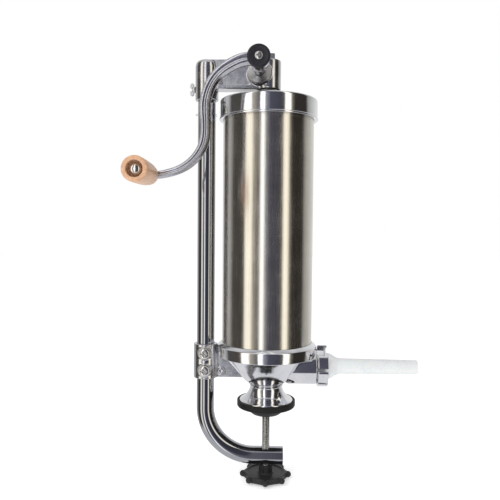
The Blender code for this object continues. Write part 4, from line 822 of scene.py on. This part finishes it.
def make_studio():
    """Softboxes and dark cards stand round the object. What is seen past it is plain white."""
    world = bpy.data.worlds.new("studio")
    bpy.context.scene.world = world
    world.use_nodes = True
    nodes, links = world.node_tree.nodes, world.node_tree.links
    back = nodes["Background"]
    place = nodes.new("ShaderNodeTexCoord")
    axes = nodes.new("ShaderNodeSeparateXYZ")
    links.new(place.outputs["Generated"], axes.inputs["Vector"])
    front = nodes.new("ShaderNodeMath")
    front.operation = "MULTIPLY"
    front.inputs[1].default_value = -1.0
    links.new(axes.outputs["Y"], front.inputs[0])
    azimuth = nodes.new("ShaderNodeMath")
    azimuth.operation = "ARCTAN2"
    links.new(axes.outputs["X"], azimuth.inputs[0])
    links.new(front.outputs[0], azimuth.inputs[1])
    share = nodes.new("ShaderNodeMapRange")
    share.inputs["From Min"].default_value = -math.pi
    share.inputs["From Max"].default_value = math.pi
    links.new(azimuth.outputs[0], share.inputs["Value"])
    # Strengths are held as a quarter of their value, because a ramp's colours stop at one
    cards = (
        (-180, (0.22, 0.22, 0.22)), (-112, (0.13, 0.13, 0.13)), (-104, (0.085, 0.085, 0.084)),
        (-98, (0.020, 0.019, 0.018)), (-68, (0.020, 0.018, 0.016)), (-61, (0.030, 0.028, 0.025)),
        (-58, (0.40, 0.385, 0.345)), (-42, (0.40, 0.385, 0.345)), (-38, (0.13, 0.12, 0.105)),
        (-24, (0.045, 0.042, 0.038)), (-20, (0.045, 0.044, 0.044)), (-18, (0.50, 0.50, 0.51)),
        (-11, (0.50, 0.50, 0.51)), (-7, (0.09, 0.09, 0.10)), (4, (0.022, 0.022, 0.030)),
        (28, (0.016, 0.016, 0.020)), (37, (0.028, 0.026, 0.024)), (40, (0.41, 0.39, 0.34)),
        (51, (0.41, 0.39, 0.34)), (56, (0.05, 0.047, 0.04)), (64, (0.008, 0.007, 0.006)),
        (98, (0.008, 0.007, 0.006)), (104, (0.09, 0.088, 0.083)), (114, (0.13, 0.13, 0.125)),
        (140, (0.20, 0.20, 0.20)), (180, (0.22, 0.22, 0.22)),
    )
    around = ramp_node(nodes, [((angle + 180) / 360, colour) for angle, colour in cards])
    links.new(share.outputs["Result"], around.inputs["Fac"])
    height = nodes.new("ShaderNodeMapRange")
    height.inputs["From Min"].default_value = -1.0
    height.inputs["From Max"].default_value = 1.0
    links.new(axes.outputs["Z"], height.inputs["Value"])
    shares = ((0.0, 1), (0.19, 1), (0.235, 0), (0.86, 0), (0.91, 0.62), (1.0, 0.62))
    level = ramp_node(nodes, [(height_share, (value,) * 3) for height_share, value in shares])
    links.new(height.outputs["Result"], level.inputs["Fac"])
    metal = nodes.new("ShaderNodeMix")
    metal.data_type = "RGBA"
    metal.inputs["B"].default_value = (0.20, 0.20, 0.205, 1.0)
    links.new(level.outputs["Color"], metal.inputs["Factor"])
    links.new(around.outputs["Color"], metal.inputs["A"])
    rays = nodes.new("ShaderNodeLightPath")
    room = nodes.new("ShaderNodeMix")
    room.data_type = "RGBA"
    room.inputs["A"].default_value = (0.17, 0.17, 0.172, 1.0)
    links.new(rays.outputs["Is Glossy Ray"], room.inputs["Factor"])
    links.new(metal.outputs["Result"], room.inputs["B"])
    seen = nodes.new("ShaderNodeMath")
    seen.operation = "MAXIMUM"
    links.new(rays.outputs["Is Camera Ray"], seen.inputs[0])
    links.new(rays.outputs["Is Transmission Ray"], seen.inputs[1])
    whole = nodes.new("ShaderNodeMix")
    whole.data_type = "RGBA"
    whole.inputs["B"].default_value = (0.25, 0.25, 0.25, 1.0)
    links.new(seen.outputs[0], whole.inputs["Factor"])
    links.new(room.outputs["Result"], whole.inputs["A"])
    links.new(whole.outputs["Result"], back.inputs["Color"])
    back.inputs["Strength"].default_value = 4.0


def make_floor():
    """A white floor that keeps the object's shadow and lets polished metal see the studio past it."""
    bm = bmesh.new()
    bmesh.ops.create_circle(bm, cap_ends=True, radius=6.0, segments=64)
    bmesh.ops.translate(bm, verts=bm.verts, vec=(0, 0, cad_box[0][2] - 0.0005))
    material = bpy.data.materials.new("white_floor")
    material.use_nodes = True
    nodes, links = material.node_tree.nodes, material.node_tree.links
    paint = nodes["Principled BSDF"]
    paint.inputs["Base Color"].default_value = (0.90, 0.90, 0.90, 1.0)
    paint.inputs["Roughness"].default_value = 1.0
    paint.inputs["Specular IOR Level"].default_value = 0.0
    paint.inputs["Emission Color"].default_value = (1.0, 1.0, 1.0, 1.0)
    paint.inputs["Emission Strength"].default_value = 0.45
    clear = nodes.new("ShaderNodeBsdfTransparent")
    choice = nodes.new("ShaderNodeMixShader")
    rays = nodes.new("ShaderNodeLightPath")
    links.new(rays.outputs["Is Glossy Ray"], choice.inputs["Fac"])
    links.new(paint.outputs["BSDF"], choice.inputs[1])
    links.new(clear.outputs["BSDF"], choice.inputs[2])
    links.new(choice.outputs["Shader"], nodes["Material Output"].inputs["Surface"])
    link("floor", bm, material)


def make_key_light():
    data = bpy.data.lights.new("key", "AREA")
    data.energy = 14.0
    data.size = 1.0
    lamp = bpy.data.objects.new("key", data)
    place = Vector((-0.9, -1.3, 1.2))
    lamp.location = place
    lamp.rotation_euler = (Vector((0, 0, 0.15)) - place).to_track_quat("-Z", "Y").to_euler()
    lamp.visible_glossy = False
    lamp.visible_camera = False
    bpy.context.scene.collection.objects.link(lamp)


def make_camera():
    pan, pitch, roll = -0.0305, 0.0373, 0.0083
    ahead = Vector((math.sin(pan) * math.cos(pitch), math.cos(pan) * math.cos(pitch), -math.sin(pitch)))
    right = Vector((math.cos(pan), -math.sin(pan), 0))
    up = right.cross(ahead)
    side = math.cos(roll) * right + math.sin(roll) * up
    upright = math.cos(roll) * up - math.sin(roll) * right
    data = bpy.data.cameras.new("camera")
    data.sensor_width = 36.0
    data.lens = 41.05
    data.clip_start = 0.01
    camera = bpy.data.objects.new("camera", data)
    turn = Matrix((side, upright, -ahead)).transposed().to_4x4()
    camera.matrix_world = Matrix.Translation((-0.00005, -0.71294, 0.22247)) @ turn
    bpy.context.scene.collection.objects.link(camera)
    bpy.context.scene.camera = camera


make_tube()
for number, screw_z in enumerate(LOWER_SCREWS, 1):
    make_pan_screw(f"lower_collar_screw_{number}", screw_z, BASE_COLLAR_RADIUS + SCREW_SEAT)
make_pan_screw("upper_collar_screw", UPPER_SCREW, RING_COLLAR_RADIUS + SCREW_SEAT)
make_cylinder()
make_ring()
make_base()
make_outlet()
make_head()
make_piston()
make_arm()
make_grip()
make_clamp()
paint_packed_nodes()
make_studio()
make_floor()
make_key_light()
make_camera()
bpy.context.scene.view_settings.view_transform = "Standard"
